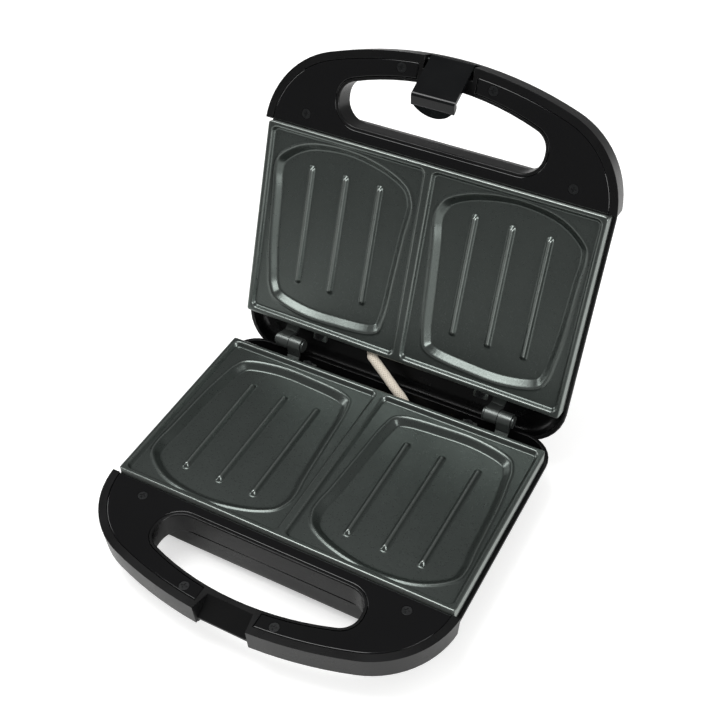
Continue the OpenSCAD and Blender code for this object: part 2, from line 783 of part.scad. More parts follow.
// U-shaped rod whose two ends turn down through the reflector
module heating_rod() {
  r = rod_pitch / 2;
  bend = function (side) [for (a = [0 : 30 : 90])
    [rod_right - rod_bend + rod_bend * sin(a), rod_mid_y + side * r, rod_z - rod_bend + rod_bend * cos(a)]];
  path = concat(
    [[rod_right, rod_mid_y + r, rod_end_z]],
    [for (i = [3 : -1 : 0]) bend(1)[i]],
    [for (x = rod_via) [x, rod_mid_y + r, rod_z]],
    [for (a = [90 : 15 : 270]) [rod_left + r * cos(a), rod_mid_y + r * sin(a), rod_z]],
    [for (x = [rod_via[1], rod_via[0]]) [x, rod_mid_y - r, rod_z]],
    bend(-1),
    [[rod_right, rod_mid_y - r, rod_end_z]]);
  tube(path, rod_d / 2, 12);
}

module rod_insulators() {
  rod_end_places()
    difference() {
      union() {
        translate([0, 0, bushing_end_z]) cylinder(r = bushing_r, h = tray_floor_z - bushing_end_z + past, $fn = 40);
        translate([0, 0, tray_floor_z + seat_gap]) cylinder(r = bushing_flange_r, h = bushing_flange_h, $fn = 40);
      }
      translate([0, 0, -far]) cylinder(r = rod_d / 2 + screw_play, h = far, $fn = 32);
    }
}

module rod_clamps() {
  length = rod_pitch + 2 * clamp_over;
  at_both_sides(clamp_x, rod_mid_y)
    difference() {
      translate([-clamp_w / 2, -length / 2, clamp_top_z - seat_gap - clamp_t]) cube([clamp_w, length, clamp_t]);
      translate([0, 0, -far]) cylinder(r = screw_r + fit_gap, h = far, $fn = 24);
    }
}

module clamp_screws() {
  at_both_sides(clamp_x, rod_mid_y)
    translate([0, 0, clamp_top_z - 2 * seat_gap - clamp_t])
      rotate([180, 0, 0]) screw(clamp_head_r, clamp_head_h, clamp_t + stud_bore_h - 1);
}

module terminal_block(at) {
  translate(at)
    difference() {
      translate(-block_size / 2) cube(block_size);
      for (x = [-6, 0, 6])
        translate([x, 0, block_size[2] / 2 - 3]) cylinder(r = block_bore_r, h = far, $fn = 24);
    }
}

// Rolled strap: curl round the pin, leg, bend under the plate and screwed tail.
// The leg is set in by strap_set, so that it meets the curl at an angle.
module hinge_strap(x) {
  leg_in = hinge_back - pin_d / 2 - pin_play + strap_set;
  leg_out = leg_in - strap_t;
  tail_end = strap_gap_end - strap_tail_len;
  under = strap_seat_z;
  difference() {
    union() {
      difference() {
        translate([x - strap_w / 2, hinge_back, 0])
          rotate([0, 90, 0]) cylinder(r = knuckle_r, h = strap_w, $fn = 64);
        translate([x, hinge_back, 0]) across(strap_w + past) polygon([[0, -0.5], [-9, -0.5], [-9, -9], [-5, -9]]);
      }
      translate([x, 0, 0])
        across(strap_w)
          polygon([
            [leg_in, leg_top_z], [leg_in, under + leg_bend + 0.5], [leg_in - leg_bend, under], [tail_end, under],
            [tail_end, under + strap_t], [leg_out - leg_bend + 1.15, under + strap_t],
            [leg_out, under + leg_bend + 1.2], [leg_out, leg_top_z]]);
    }
    translate([x - strap_w, hinge_back, 0])
      rotate([0, 90, 0]) cylinder(r = pin_d / 2 + pin_play, h = 2 * strap_w, $fn = 64);
    strap_screw_places(x) translate([0, 0, strap_tail_z - strap_head_h]) screw_hole(strap_head_r, strap_t);
  }
}

module hinge_screws() {
  for (x = base_hinge_x)
    strap_screw_places(x)
      translate([0, 0, strap_tail_z - strap_head_h]) screw(strap_head_r, strap_head_h, strap_screw_len - 1);
}

// ---- Base ----

module base_housing() {
  color("#151515")
    in_base()
      difference() {
        union() {
          housing(base_shell, base_block);
          foot_places()
            translate([0, 0, foot_seat_z]) cylinder(r = foot_boss_r, h = foot_plug_top_z - foot_seat_z, $fn = 48);
          translate([gland_x, gland_boss_y, gland_z])
            rotate([-90, 0, 0]) cylinder(r = gland_boss_r, h = gland_face_y - gland_boss_y, $fn = 48);
        }
        foot_places()
          translate([0, 0, -far])
            cylinder(r = foot_plug_r + screw_play, h = far + foot_plug_top_z + past, $fn = 32);
        translate([gland_x, 0, gland_z]) rotate([-90, 0, 0]) cylinder(r = gland_r + hole_play, h = far, $fn = 40);
        latch_recess();
      }
}

// Sloping recess that the latch drops into, with a raised catch under the handle
module latch_recess() {
  inner_y = slot_front_y - recess_ledge;
  face_y = front_y + recess_lip;
  intersection() {
    across(2 * recess_flare)
      polygon([[front_y - past, deck_z + past], [inner_y, deck_z + past], [inner_y, deck_z],
               [face_y, deck_z - recess_drop], [face_y, handle_under_z - past],
               [front_y - past, handle_under_z - past]]);
    translate([0, 0, -far])
      linear_extrude(2 * far)
        polygon([[-recess_half, inner_y], [recess_half, inner_y], [recess_flare, front_y - past],
                 [-recess_flare, front_y - past]]);
  }
  translate([-recess_half - 1, front_y - past, handle_under_z - past])
    cube([2 * recess_half + 2, notch_back + past, catch_raise + past]);
}

module base_handle_cover() {
  color("#101112") in_base() handle_cover();
}

module base_cover_screws() {
  color("#2b2c2e") in_base() cover_screws();
}

module base_plate() {
  color("#434846") in_base() plate();
}

module base_plate_screws() {
  color("#55585a") in_base() plate_screws();
}

module base_reflector() {
  color("#b8bcbf") in_base() reflector(true);
}

module base_heating_rod() {
  color("#6c6f70") in_base() heating_rod();
}

module base_rod_insulators() {
  color("#e8e4da") in_base() rod_insulators();
}

module base_rod_clamps() {
  color("#a9adaf") in_base() rod_clamps();
}

module base_clamp_screws() {
  color("#8c9092") in_base() clamp_screws();
}

module thermostat() {
  color("#c9c4b4")
    in_base()
      translate([thermostat_at[0], thermostat_at[1], 0]) {
        translate([0, 0, thermostat_end_z])
          cylinder(r = thermostat_r, h = plate_under_z - seat_gap - thermostat_end_z, $fn = 48);
        translate([0, 0, tray_floor_z + seat_gap]) cylinder(r = thermostat_flange_r, h = 1, $fn = 48);
      }
}

module thermal_fuse() {
  color("#d8d3c4")
    in_base()
      translate([fuse_x, fuse_y[0], wire_z])
        rotate([-90, 0, 0]) cylinder(r = fuse_r, h = fuse_y[1] - fuse_y[0], $fn = 32);
}

module base_terminal_block() {
  color("#ece8dc") in_base() terminal_block(base_block);
}

module base_leads() {
  color("#d9d2c3")
    in_base() {
      wire(base_rear_wire);
      wire(base_fuse_wire);
      wire(base_front_wire);
      wire(base_control_wire);
      wire(supply_wire_left, gland_z);
      wire(supply_wire_right, gland_z);
    }
}

module cord_gland() {
  color("#1b1b1c")
    in_base()
      translate([gland_x, 0, gland_z])
        rotate([-90, 0, 0])
          difference() {
            union() {
              translate([0, 0, gland_neck_end_y])
                cylinder(r = gland_r, h = gland_face_y - gland_neck_end_y + past, $fn = 40);
              translate([0, 0, gland_face_y + seat_gap]) cylinder(r = gland_flange_r, h = gland_flange_t, $fn = 48);
            }
            cylinder(r = gland_bore_r, h = far, $fn = 32);
          }
}

module foot_places() {
  for (y = foot_y) at_both_sides(foot_x, y) children();
}

// Rubber foot: round pad with a plug that sits in the base's hole
module foot(x, y) {
  color("#202021")
    in_base()
      translate([x, y, 0]) {
        translate([0, 0, foot_bottom_z]) cylinder(r = foot_r, h = foot_seat_z - seat_gap - foot_bottom_z, $fn = 48);
        translate([0, 0, foot_seat_z - past])
          cylinder(r = foot_plug_r, h = foot_plug_top_z - foot_seat_z + past, $fn = 32);
      }
}

module base_hinge(x) {
  color("#8b908e") in_base() hinge_strap(x);
}

module base_hinge_screws() {
  color("#6f7371") in_base() hinge_screws();
}

// Pin with a head at each end, through one base strap and one lid strap
module hinge_pin(base_x, lid_x) {
  inner = abs(base_x - lid_x) + strap_w + pin_end_play;
  color("#a2a6a4")
    in_base()
      translate([(base_x + lid_x) / 2, hinge_back, 0])
        rotate([0, 90, 0]) {
          cylinder(d = pin_d, h = inner + pin_head_t, center = true, $fn = 64);
          for (side = [-1, 1])
            translate([0, 0, side * (inner + pin_head_t) / 2])
              cylinder(r = pin_d / 2 + pin_head_rim, h = pin_head_t, center = true, $fn = 48);
        }
}

// ---- Lid ----

module lid_housing() {
  color("#151515")
    in_lid()
      difference() {
        housing(lid_shell, lid_block);
        translate([-notch_half, front_y - past, deck_z - notch_h]) cube([2 * notch_half, notch_back + past, far]);
        translate([0, latch_y, -latch_pivot_h])
          rotate([0, 90, 0])
            cylinder(d = latch_pin_d + 2 * screw_play, h = 2 * centre_half + past, center = true, $fn = 32);
      }
}

module lid_handle_cover() {
  color("#101112") in_lid() handle_cover();
}

module lid_cover_screws() {
  color("#2b2c2e") in_lid() cover_screws();
}

module lid_plate() {
  color("#434846") in_lid() plate();
}

module lid_plate_screws() {
  color("#55585a") in_lid() plate_screws();
}

module lid_reflector() {
  color("#b8bcbf") in_lid() reflector(false);
}

module lid_heating_rod() {
  color("#6c6f70") in_lid() heating_rod();
}

module lid_rod_insulators() {
  color("#e8e4da") in_lid() rod_insulators();
}

module lid_rod_clamps() {
  color("#a9adaf") in_lid() rod_clamps();
}

module lid_clamp_screws() {
  color("#8c9092") in_lid() clamp_screws();
}

module lid_terminal_block() {
  color("#ece8dc") in_lid() terminal_block(lid_block);
}

module lid_leads() {
  color("#d9d2c3")
    in_lid() {
      wire(lid_rear_wire);
      wire(lid_front_wire);
    }
}

module lid_hinge(x) {
  color("#8b908e") in_lid() hinge_strap(x);
}

module lid_hinge_screws() {
  color("#6f7371") in_lid() hinge_screws();
}

// ---- Latch ----

module on_latch_axis() {
  in_lid() translate([0, latch_y, -latch_pivot_h]) rotate([-latch_swing, 0, 0]) children();
}

// Hooked plate on a barrel, with a rounded lip beyond the hook
module latch() {
  edge = [latch_hook - latch_barrel_r, latch_edge + hook_slope];
  lip_r = (pow(lip_half, 2) + pow(latch_lip, 2)) / (2 * latch_lip);
  color("#0e0f10")
    on_latch_axis()
      difference() {
        union() {
          across(latch_w) {
            circle(latch_barrel_r, $fn = 48);
            polygon([[-latch_barrel_r, 0], [-latch_barrel_r, latch_edge], edge, edge - [0, lip_t],
                     edge - [1.5, lip_t + 3], [-latch_inner, latch_catch], [-latch_inner, 0]]);
          }
          intersection() {
            across(latch_w)
              polygon([edge - [0.5, 0], edge - [0.5, lip_t], edge + [latch_lip + past, lip_slope - lip_t],
                       edge + [latch_lip + past, lip_slope]]);
            translate([0, edge[0] + latch_lip - lip_r, 0]) cylinder(r = lip_r, h = far, $fn = 96);
          }
        }
        rotate([0, 90, 0]) cylinder(d = latch_pin_d + 2 * screw_play, h = far, center = true, $fn = 32);
      }
}

module latch_pin() {
  color("#9a9e9c")
    on_latch_axis() rotate([0, 90, 0]) cylinder(d = latch_pin_d, h = latch_pin_len, center = true, $fn = 32);
}

// ---- Connecting lead ----

// A point of the shut lid, swung to where the open lid has it
function swung(p) =
  let (y = p[1] - hinge_back)
  [p[0], hinge_back + y * cos(lid_open) + p[2] * sin(lid_open), -y * sin(lid_open) + p[2] * cos(lid_open)];

module connecting_lead() {
  color("#d5cbbd")
    in_base()
      tube(smooth(concat(lead_base_route, [for (q = lead_lid_route) swung(q)]), lead_steps), lead_d / 2, lead_sides);
}

// ---- Nodes ----

base_housing();
base_handle_cover();
base_cover_screws();
base_plate();
base_plate_screws();
base_reflector();
base_heating_rod();
base_rod_insulators();
base_rod_clamps();
base_clamp_screws();
thermostat();
thermal_fuse();
base_terminal_block();
base_leads();
cord_gland();
foot(-foot_x, foot_y[0]);  // foot_front_left
foot(foot_x, foot_y[0]);  // foot_front_right
foot(-foot_x, foot_y[1]);  // foot_rear_left
foot(foot_x, foot_y[1]);  // foot_rear_right
base_hinge(base_hinge_x[0]);  // base_hinge_left
base_hinge(base_hinge_x[1]);  // base_hinge_right
base_hinge_screws();
hinge_pin(base_hinge_x[0], -base_hinge_x[1]);  // hinge_pin_left
hinge_pin(base_hinge_x[1], -base_hinge_x[0]);  // hinge_pin_right
lid_housing();
lid_handle_cover();
lid_cover_screws();
lid_plate();
lid_plate_screws();
lid_reflector();
lid_heating_rod();
lid_rod_insulators();
lid_rod_clamps();
lid_clamp_screws();
lid_terminal_block();
lid_leads();
lid_hinge(base_hinge_x[1]);  // lid_hinge_left
lid_hinge(base_hinge_x[0]);  // lid_hinge_right
lid_hinge_screws();
latch();
latch_pin();
connecting_lead();
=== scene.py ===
"""Looks of a two-slice sandwich toaster with hinged halves, shown open.

Lengths are in millimetres while a piece is shaped. Each half is shaped lying face up:
its rim is at z = 0, its back edge at y = 0 and its handle points along -Y. Then one
matrix sets the mesh on the base or on the open lid, in metres.
"""
from __future__ import annotations

import json
import logging
import math
from collections.abc import Sequence
from dataclasses import dataclass, field
from enum import Enum

import bmesh
import bpy
import numpy as np
from mathutils import Matrix, Vector

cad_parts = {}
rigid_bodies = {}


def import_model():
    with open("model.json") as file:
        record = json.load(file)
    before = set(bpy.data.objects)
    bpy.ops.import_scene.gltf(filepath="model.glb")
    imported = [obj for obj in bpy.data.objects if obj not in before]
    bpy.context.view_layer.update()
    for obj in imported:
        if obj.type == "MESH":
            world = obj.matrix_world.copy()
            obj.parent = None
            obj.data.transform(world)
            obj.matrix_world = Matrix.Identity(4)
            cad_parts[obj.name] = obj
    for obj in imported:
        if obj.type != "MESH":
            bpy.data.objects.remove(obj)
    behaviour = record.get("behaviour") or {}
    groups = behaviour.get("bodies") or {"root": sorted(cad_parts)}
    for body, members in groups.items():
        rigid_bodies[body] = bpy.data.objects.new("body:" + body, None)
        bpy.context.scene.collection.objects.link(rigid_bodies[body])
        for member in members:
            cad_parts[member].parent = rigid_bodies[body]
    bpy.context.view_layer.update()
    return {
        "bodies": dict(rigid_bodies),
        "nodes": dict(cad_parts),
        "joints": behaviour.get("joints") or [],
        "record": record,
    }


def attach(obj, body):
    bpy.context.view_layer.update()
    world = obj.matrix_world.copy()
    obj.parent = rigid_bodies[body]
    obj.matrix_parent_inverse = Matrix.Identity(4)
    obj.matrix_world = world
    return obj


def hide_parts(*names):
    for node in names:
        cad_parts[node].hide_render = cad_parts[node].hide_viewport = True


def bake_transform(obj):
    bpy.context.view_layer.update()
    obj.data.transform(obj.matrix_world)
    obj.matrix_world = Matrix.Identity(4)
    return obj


LOG = logging.getLogger("toaster")
MM = 0.001

# Hinge axis behind the plates' back edge, and height of the mating plane above the table
HINGE_BACK = 12.7
MATING_H = 42.0
# Angle of the open lid, in degrees
LID_OPEN = 110.0
# Front of the handles, and how far their underside lies below the mating plane
FRONT_Y = -199.0
HANDLE_UNDER = 19.0
# Middle of the open toaster from front to back
MID_Y = (FRONT_Y + HINGE_BACK + (FRONT_Y - HINGE_BACK) * math.cos(math.radians(LID_OPEN))
         + HANDLE_UNDER * math.sin(math.radians(LID_OPEN))) / 2.0
# Points of a node closer than this are one point, in metres
SAME_POINT = 0.000002
# Faces of a node that turn less than this are one face, in degrees
FLAT_ANGLE = 1.0
# Least angle and length of a fold that gets its own rounding, in degrees and mm, and its strips
FOLD_ANGLE = 50.0
FOLD_LENGTH = 20.0
FOLD_SEGMENTS = 5
# How strongly broad faces outweigh narrow ones in the shading, from 1 to 100
FACE_WEIGHT = 80


class Half(Enum):
    """The two halves of the toaster, named as the bodies are."""

    BASE = "base"
    LID = "lid"

    def matrix(self) -> Matrix:
        """Places a half in the open toaster.

        Returns:
            The matrix from a half lying face up, in mm, to its place, in metres.
        """
        on_table = Matrix.Scale(MM, 4) @ Matrix.Translation((0.0, -MID_Y, MATING_H))
        if self is Half.BASE:
            return on_table
        swing = (Matrix.Translation((0.0, HINGE_BACK, 0.0))
                 @ Matrix.Rotation(math.radians(-LID_OPEN), 4, "X")
                 @ Matrix.Translation((0.0, -HINGE_BACK, 0.0)))
        return on_table @ swing @ Matrix.Rotation(math.pi, 4, "Y")


# ---------------------------------------------------------------- materials


def linear(hex_colour: str) -> tuple[float, float, float, float]:
    """Turns an sRGB hex value into linear colour.

    Args:
        hex_colour: Six hex digits, with or without a leading #.

    Returns:
        Linear red, green, blue and an alpha of 1.
    """
    digits = hex_colour.lstrip("#")
    parts = [int(digits[i:i + 2], 16) / 255.0 for i in (0, 2, 4)]
    r, g, b = [c / 12.92 if c <= 0.04045 else ((c + 0.055) / 1.055) ** 2.4 for c in parts]
    return (r, g, b, 1.0)


def add_node(tree: bpy.types.NodeTree, kind: str, inputs: dict | None = None,
             **settings: object) -> bpy.types.Node:
    """Adds a node with its settings and links.

    Args:
        tree: Node tree that gets the node.
        kind: Blender's name of the node's type.
        inputs: Socket name or number to a value, or to the socket that feeds it.
        **settings: Properties of the node.

    Returns:
        The new node.
    """
    node = tree.nodes.new(kind)
    for name, value in settings.items():
        setattr(node, name, value)
    for key, value in (inputs or {}).items():
        if isinstance(value, bpy.types.NodeSocket):
            tree.links.new(value, node.inputs[key])
        else:
            node.inputs[key].default_value = value
    return node


def per_mm(spacing_mm: float) -> float:
    """Returns the texture scale that repeats once in spacing_mm on Object coordinates."""
    return 1000.0 / spacing_mm


def new_surface(name: str, values: dict) -> tuple[bpy.types.Material, bpy.types.NodeTree, bpy.types.Node]:
    """Starts a material with one Principled shader.

    Args:
        name: Name of the finish.
        values: Constant values of the shader's own sockets.

    Returns:
        The material, its node tree and the shader.
    """
    material = bpy.data.materials.new(name)
    material.use_nodes = True
    tree = material.node_tree
    shader = tree.nodes["Principled BSDF"]
    for key, value in values.items():
        shader.inputs[key].default_value = value
    return material, tree, shader


@dataclass(frozen=True)
class GrainedFinish:
    """A finish with a fine grain: its colour and roughness drift a little, and it has a slight relief."""

    name: str
    colour: str
    drift: str
    roughness: tuple[float, float]
    grain_mm: float
    cloud_mm: float
    relief: float
    metallic: float = 0.0
    ior: float = 1.5
    coat: float = 0.0

    def make(self) -> bpy.types.Material:
        """Builds the finish.

        Returns:
            The material.
        """
        material, tree, shader = new_surface(self.name, {
            "Metallic": self.metallic, "IOR": self.ior, "Coat Weight": self.coat, "Coat Roughness": 0.06})
        place = add_node(tree, "ShaderNodeTexCoord").outputs["Object"]
        cloud = add_node(tree, "ShaderNodeTexNoise", {
            "Vector": place, "Scale": per_mm(self.cloud_mm), "Detail": 3.0, "Roughness": 0.55})
        grain = add_node(tree, "ShaderNodeTexNoise", {
            "Vector": place, "Scale": per_mm(self.grain_mm), "Detail": 2.0, "Roughness": 0.6})
        mixed = add_node(tree, "ShaderNodeMix", {
            0: cloud.outputs["Fac"], 6: linear(self.colour), 7: linear(self.drift)}, data_type="RGBA")
        low, high = self.roughness
        gloss = add_node(tree, "ShaderNodeMapRange", {
            "Value": cloud.outputs["Fac"], "From Min": 0.3, "From Max": 0.7, "To Min": low, "To Max": high})
        bump = add_node(tree, "ShaderNodeBump", {
            "Strength": self.relief, "Distance": 0.00005, "Height": grain.outputs["Fac"]})
        tree.links.new(mixed.outputs[2], shader.inputs["Base Color"])
        tree.links.new(gloss.outputs["Result"], shader.inputs["Roughness"])
        tree.links.new(bump.outputs["Normal"], shader.inputs["Normal"])
        return material


@dataclass(frozen=True)
class SpeckledCoat:
    """Sprayed non-stick coat on cast aluminium: soft dark grey with pale specks and a pebbled skin."""

    name: str = "sprayed_nonstick_coat"
    colour: str = "#585e5b"
    cloud: str = "#626865"
    speck: str = "#747b78"
    speck_share: float = 0.45
    speck_mm: float = 1.1
    cloud_mm: float = 45.0
    pebble_mm: float = 1.1
    roughness: float = 0.3
    drift: float = 0.04
    metallic: float = 0.9
    # Pale grey painted on sharp ridges as a highlight, and how far towards it they go
    painted_ridge_highlight: str = "#a6aca8"
    painted_highlight_share: float = 0.65

    def make(self) -> bpy.types.Material:
        """Builds the finish.

        Returns:
            The material.
        """
        material, tree, shader = new_surface(self.name, {"IOR": 1.6, "Metallic": self.metallic})
        place = add_node(tree, "ShaderNodeTexCoord").outputs["Object"]
        cloud = add_node(tree, "ShaderNodeTexNoise", {
            "Vector": place, "Scale": per_mm(self.cloud_mm), "Detail": 4.0, "Roughness": 0.6})
        specks = add_node(tree, "ShaderNodeTexVoronoi", {
            "Vector": place, "Scale": per_mm(self.speck_mm), "Randomness": 1.0})
        dots = add_node(tree, "ShaderNodeMapRange", {
            "Value": specks.outputs["Distance"], "From Min": 0.05, "From Max": 0.28,
            "To Min": self.speck_share, "To Max": 0.0})
        pebble = add_node(tree, "ShaderNodeTexNoise", {
            "Vector": place, "Scale": per_mm(self.pebble_mm), "Detail": 1.0, "Roughness": 0.5})
        under = add_node(tree, "ShaderNodeMix", {
            0: cloud.outputs["Fac"], 6: linear(self.colour), 7: linear(self.cloud)}, data_type="RGBA")
        mixed = add_node(tree, "ShaderNodeMix", {
            0: dots.outputs["Result"], 6: under.outputs[2], 7: linear(self.speck)}, data_type="RGBA")
        # Painted highlight: the colour is lifted towards pale grey on the casting's sharp ridges, standing in
        # for the light they catch
        sharpness = add_node(tree, "ShaderNodeNewGeometry").outputs["Pointiness"]
        painted_highlight = add_node(tree, "ShaderNodeMapRange", {
            "Value": sharpness, "From Min": 0.515, "From Max": 0.565,
            "To Min": 0.0, "To Max": self.painted_highlight_share})
        mixed = add_node(tree, "ShaderNodeMix", {
            0: painted_highlight.outputs["Result"], 6: mixed.outputs[2], 7: linear(self.painted_ridge_highlight)}, data_type="RGBA")
        gloss = add_node(tree, "ShaderNodeMapRange", {
            "Value": pebble.outputs["Fac"], "From Min": 0.2, "From Max": 0.8,
            "To Min": self.roughness - self.drift, "To Max": self.roughness + self.drift})
        bump = add_node(tree, "ShaderNodeBump", {
            "Strength": 0.16, "Distance": 0.00004, "Height": pebble.outputs["Fac"]})
        tree.links.new(mixed.outputs[2], shader.inputs["Base Color"])
        tree.links.new(gloss.outputs["Result"], shader.inputs["Roughness"])
        tree.links.new(bump.outputs["Normal"], shader.inputs["Normal"])
        return material


@dataclass(frozen=True)
class BraidedSleeve:
    """Braided fibreglass sleeve: cream yarns that cross at a slant, woven over the lead."""

    name: str = "braided_fibreglass_sleeve"
    # Yarn colour on the crests, then a darker colour painted into the gaps of the weave as shade
    yarn: str = "#d9d0c1"
    shade: str = "#a3988a"
    around: float = 12.0
    along: float = 9.0

    def make(self) -> bpy.types.Material:
        """Builds the finish.

        Returns:
            The material, which reads the sleeve's own UV map.
        """
        material, tree, shader = new_surface(self.name, {"Roughness": 0.62, "IOR": 1.5, "Sheen Weight": 0.15})
        uv = add_node(tree, "ShaderNodeUVMap", uv_map="sleeve").outputs["UV"]
        waves = []
        for slant in (1.0, -1.0):
            turned = add_node(tree, "ShaderNodeMapping", {
                "Vector": uv, "Rotation": (0.0, 0.0, slant * math.radians(40.0)),
                "Scale": (self.around, self.along, 1.0)})
            waves.append(add_node(tree, "ShaderNodeTexWave", {
                "Vector": turned.outputs["Vector"], "Scale": 0.42, "Distortion": 0.4, "Detail": 1.0,
                "Detail Scale": 2.0}).outputs["Fac"])
        crossed = add_node(tree, "ShaderNodeMath", {0: waves[0], 1: waves[1]}, operation="MAXIMUM").outputs[0]
        # Painted shade: where neither set of yarns crests, in the gaps of the weave, the colour falls to the
        # darker one
        mixed = add_node(tree, "ShaderNodeMix", {
            0: crossed, 6: linear(self.shade), 7: linear(self.yarn)}, data_type="RGBA")
        bump = add_node(tree, "ShaderNodeBump", {"Strength": 0.6, "Distance": 0.0003, "Height": crossed})
        tree.links.new(mixed.outputs[2], shader.inputs["Base Color"])
        tree.links.new(bump.outputs["Normal"], shader.inputs["Normal"])
        return material


class Finish(Enum):
    """The toaster's finishes, by what the real one is."""

    # Moulded phenolic: black, satin gloss, with the faint orange peel of the mould
    HOUSING = GrainedFinish("moulded_black_phenolic", "#090909", "#0e0e0f",
                            roughness=(0.24, 0.34), grain_mm=1.4, cloud_mm=30.0, relief=0.10, ior=1.4)
    # Polished ABS: deeper black, mirror-like, faint smears only
    COVER = GrainedFinish("polished_black_abs", "#070708", "#0a0a0b",
                          roughness=(0.07, 0.13), grain_mm=3.0, cloud_mm=45.0, relief=0.04)
    # Polished nylon: the latch, as glossy as the covers
    LATCH = GrainedFinish("polished_black_nylon", "#08090a", "#0d0e0f",
                          roughness=(0.07, 0.12), grain_mm=1.8, cloud_mm=20.0, relief=0.05, ior=1.4)
    # Coated sheet steel: hinge straps and pins, grey, semi-gloss, with rolling marks
    STRAP = GrainedFinish("coated_strap_steel", "#5c605e", "#6b6f6d",
                          roughness=(0.26, 0.40), grain_mm=0.8, cloud_mm=9.0, relief=0.2, metallic=0.85)
    # Zinc-plated steel: clamps inside and their screws
    ZINC = GrainedFinish("zinc_plated_steel", "#a5a8a8", "#b9bcbc",
                         roughness=(0.22, 0.36), grain_mm=0.7, cloud_mm=6.0, relief=0.15, metallic=1.0)
    # Blackened steel: screws of covers, plates and hinges
    BLACKENED = GrainedFinish("blackened_steel", "#141516", "#1f2021",
                              roughness=(0.35, 0.5), grain_mm=0.5, cloud_mm=4.0, relief=0.25, metallic=0.4)
    # Aluminised sheet: bright, slightly spangled
    SHEET = GrainedFinish("aluminised_sheet", "#b4b7b9", "#c6c9ca",
                          roughness=(0.24, 0.4), grain_mm=0.9, cloud_mm=12.0, relief=0.15, metallic=1.0)
    # Oxidised nickel alloy: the sheath of the heating rods
    SHEATH = GrainedFinish("oxidised_rod_sheath", "#4a4744", "#5d5954",
                           roughness=(0.45, 0.6), grain_mm=0.6, cloud_mm=8.0, relief=0.3, metallic=0.8)
    # Steatite: off-white, unglazed
    STEATITE = GrainedFinish("unglazed_steatite", "#e3ddd0", "#d6cfc0",
                             roughness=(0.6, 0.75), grain_mm=0.5, cloud_mm=7.0, relief=0.3)
    # Silicone rubber: leads
    SILICONE = GrainedFinish("silicone_lead_sheath", "#cfc7b6", "#c2b9a6",
                             roughness=(0.5, 0.62), grain_mm=0.6, cloud_mm=9.0, relief=0.2)
    # Moulded rubber: feet
    RUBBER = GrainedFinish("moulded_rubber", "#17181a", "#1f2021",
                           roughness=(0.65, 0.8), grain_mm=0.5, cloud_mm=6.0, relief=0.5)
    NON_STICK = SpeckledCoat()
    SLEEVE = BraidedSleeve()

    def material(self) -> bpy.types.Material:
        """Returns the finish's material, made at its first use."""
        made = bpy.data.materials.get(self.value.name)
        return made if made else self.value.make()


# ---------------------------------------------------------------- mesh tools


def ring_of(bm: bmesh.types.BMesh, points: Sequence[Sequence[float]]) -> list[bmesh.types.BMVert]:
    """Draws a closed ring of edges through points.

    Args:
        bm: Mesh that gets the ring.
        points: Places of its vertices, in order.

    Returns:
        Vertices of the ring, in order.
    """
    verts = [bm.verts.new(p) for p in points]
    for i, vert in enumerate(verts):
        bm.edges.new((vert, verts[(i + 1) % len(verts)]))
    return verts


def pull_ring(bm: bmesh.types.BMesh, ring: list[bmesh.types.BMVert],
              points: Sequence[Sequence[float]]) -> list[bmesh.types.BMVert]:
    """Extrudes a ring's edges and moves the new ring onto points.

    Args:
        bm: Mesh that holds the ring.
        ring: Vertices of the ring, in order.
        points: Places of the new ring, in the same order.

    Returns:
        Vertices of the new ring.
    """
    edges = [bm.edges.get((v, ring[(i + 1) % len(ring)])) for i, v in enumerate(ring)]
    extruded = bmesh.ops.extrude_edge_only(bm, edges=edges)["geom"]
    made = {g for g in extruded if isinstance(g, bmesh.types.BMVert)}
    pulled = [next(e.other_vert(v) for e in v.link_edges if e.other_vert(v) in made) for v in ring]
    for vert, point in zip(pulled, points):
        vert.co = point
    return pulled


def curve_point(corners: Sequence[Vector | np.ndarray], t: float | np.ndarray) -> Vector | np.ndarray:
    """Returns a point of the smooth curve through four points, between the middle two.

    Args:
        corners: The four points.
        t: How far along the middle stretch, from 0 to 1.

    Returns:
        The point, or one row for each value of t.
    """
    a, b, c, d = corners
    return b + ((c - a) * t + (2 * a - 5 * b + 4 * c - d) * t ** 2 + (3 * b - a - 3 * c + d) * t ** 3) / 2


def bevel(bm: bmesh.types.BMesh, edges: Sequence[bmesh.types.BMEdge], width: float, segments: int) -> None:
    """Bevels edges by width, as far as their neighbours leave room."""
    bmesh.ops.bevel(bm, geom=edges, offset=width, offset_type="OFFSET", segments=segments, profile=0.5,
                    affect="EDGES", clamp_overlap=True, material=-1)


def chains(edges: Sequence[bmesh.types.BMEdge]) -> list[list[bmesh.types.BMEdge]]:
    """Groups edges that hang together.

    Args:
        edges: Edges to group.

    Returns:
        The groups, each in the order in which its edges are met.
    """
    left = dict.fromkeys(edges)
    out = []
    for edge in edges:
        if edge not in left:
            continue
        del left[edge]
        group = [edge]
        for member in group:
            for near in [n for vert in member.verts for n in vert.link_edges]:
                if near in left:
                    del left[near]
                    group.append(near)
        out.append(group)
    return out


def soften(bm: bmesh.types.BMesh, width: float, angle: float = 35.0, segments: int = 2,
           least: float = 0.0) -> None:
    """Bevels the edges of a mesh that are sharper than an angle.

    Args:
        bm: Mesh to soften.
        width: Width of the bevel, in the mesh's own unit.
        angle: Least angle between the two faces, in degrees.
        segments: Number of strips in the bevel.
        least: Shorter edges than this stay as they are.
    """
    edges = [e for e in bm.edges if len(e.link_faces) == 2 and e.calc_face_angle(0.0) > math.radians(angle)
             and e.is_convex and e.calc_length() > least]
    # Chain by chain, so that a narrow place limits only its own chain
    for chain in chains(edges):
        bevel(bm, [e for e in chain if e.is_valid], width, segments)


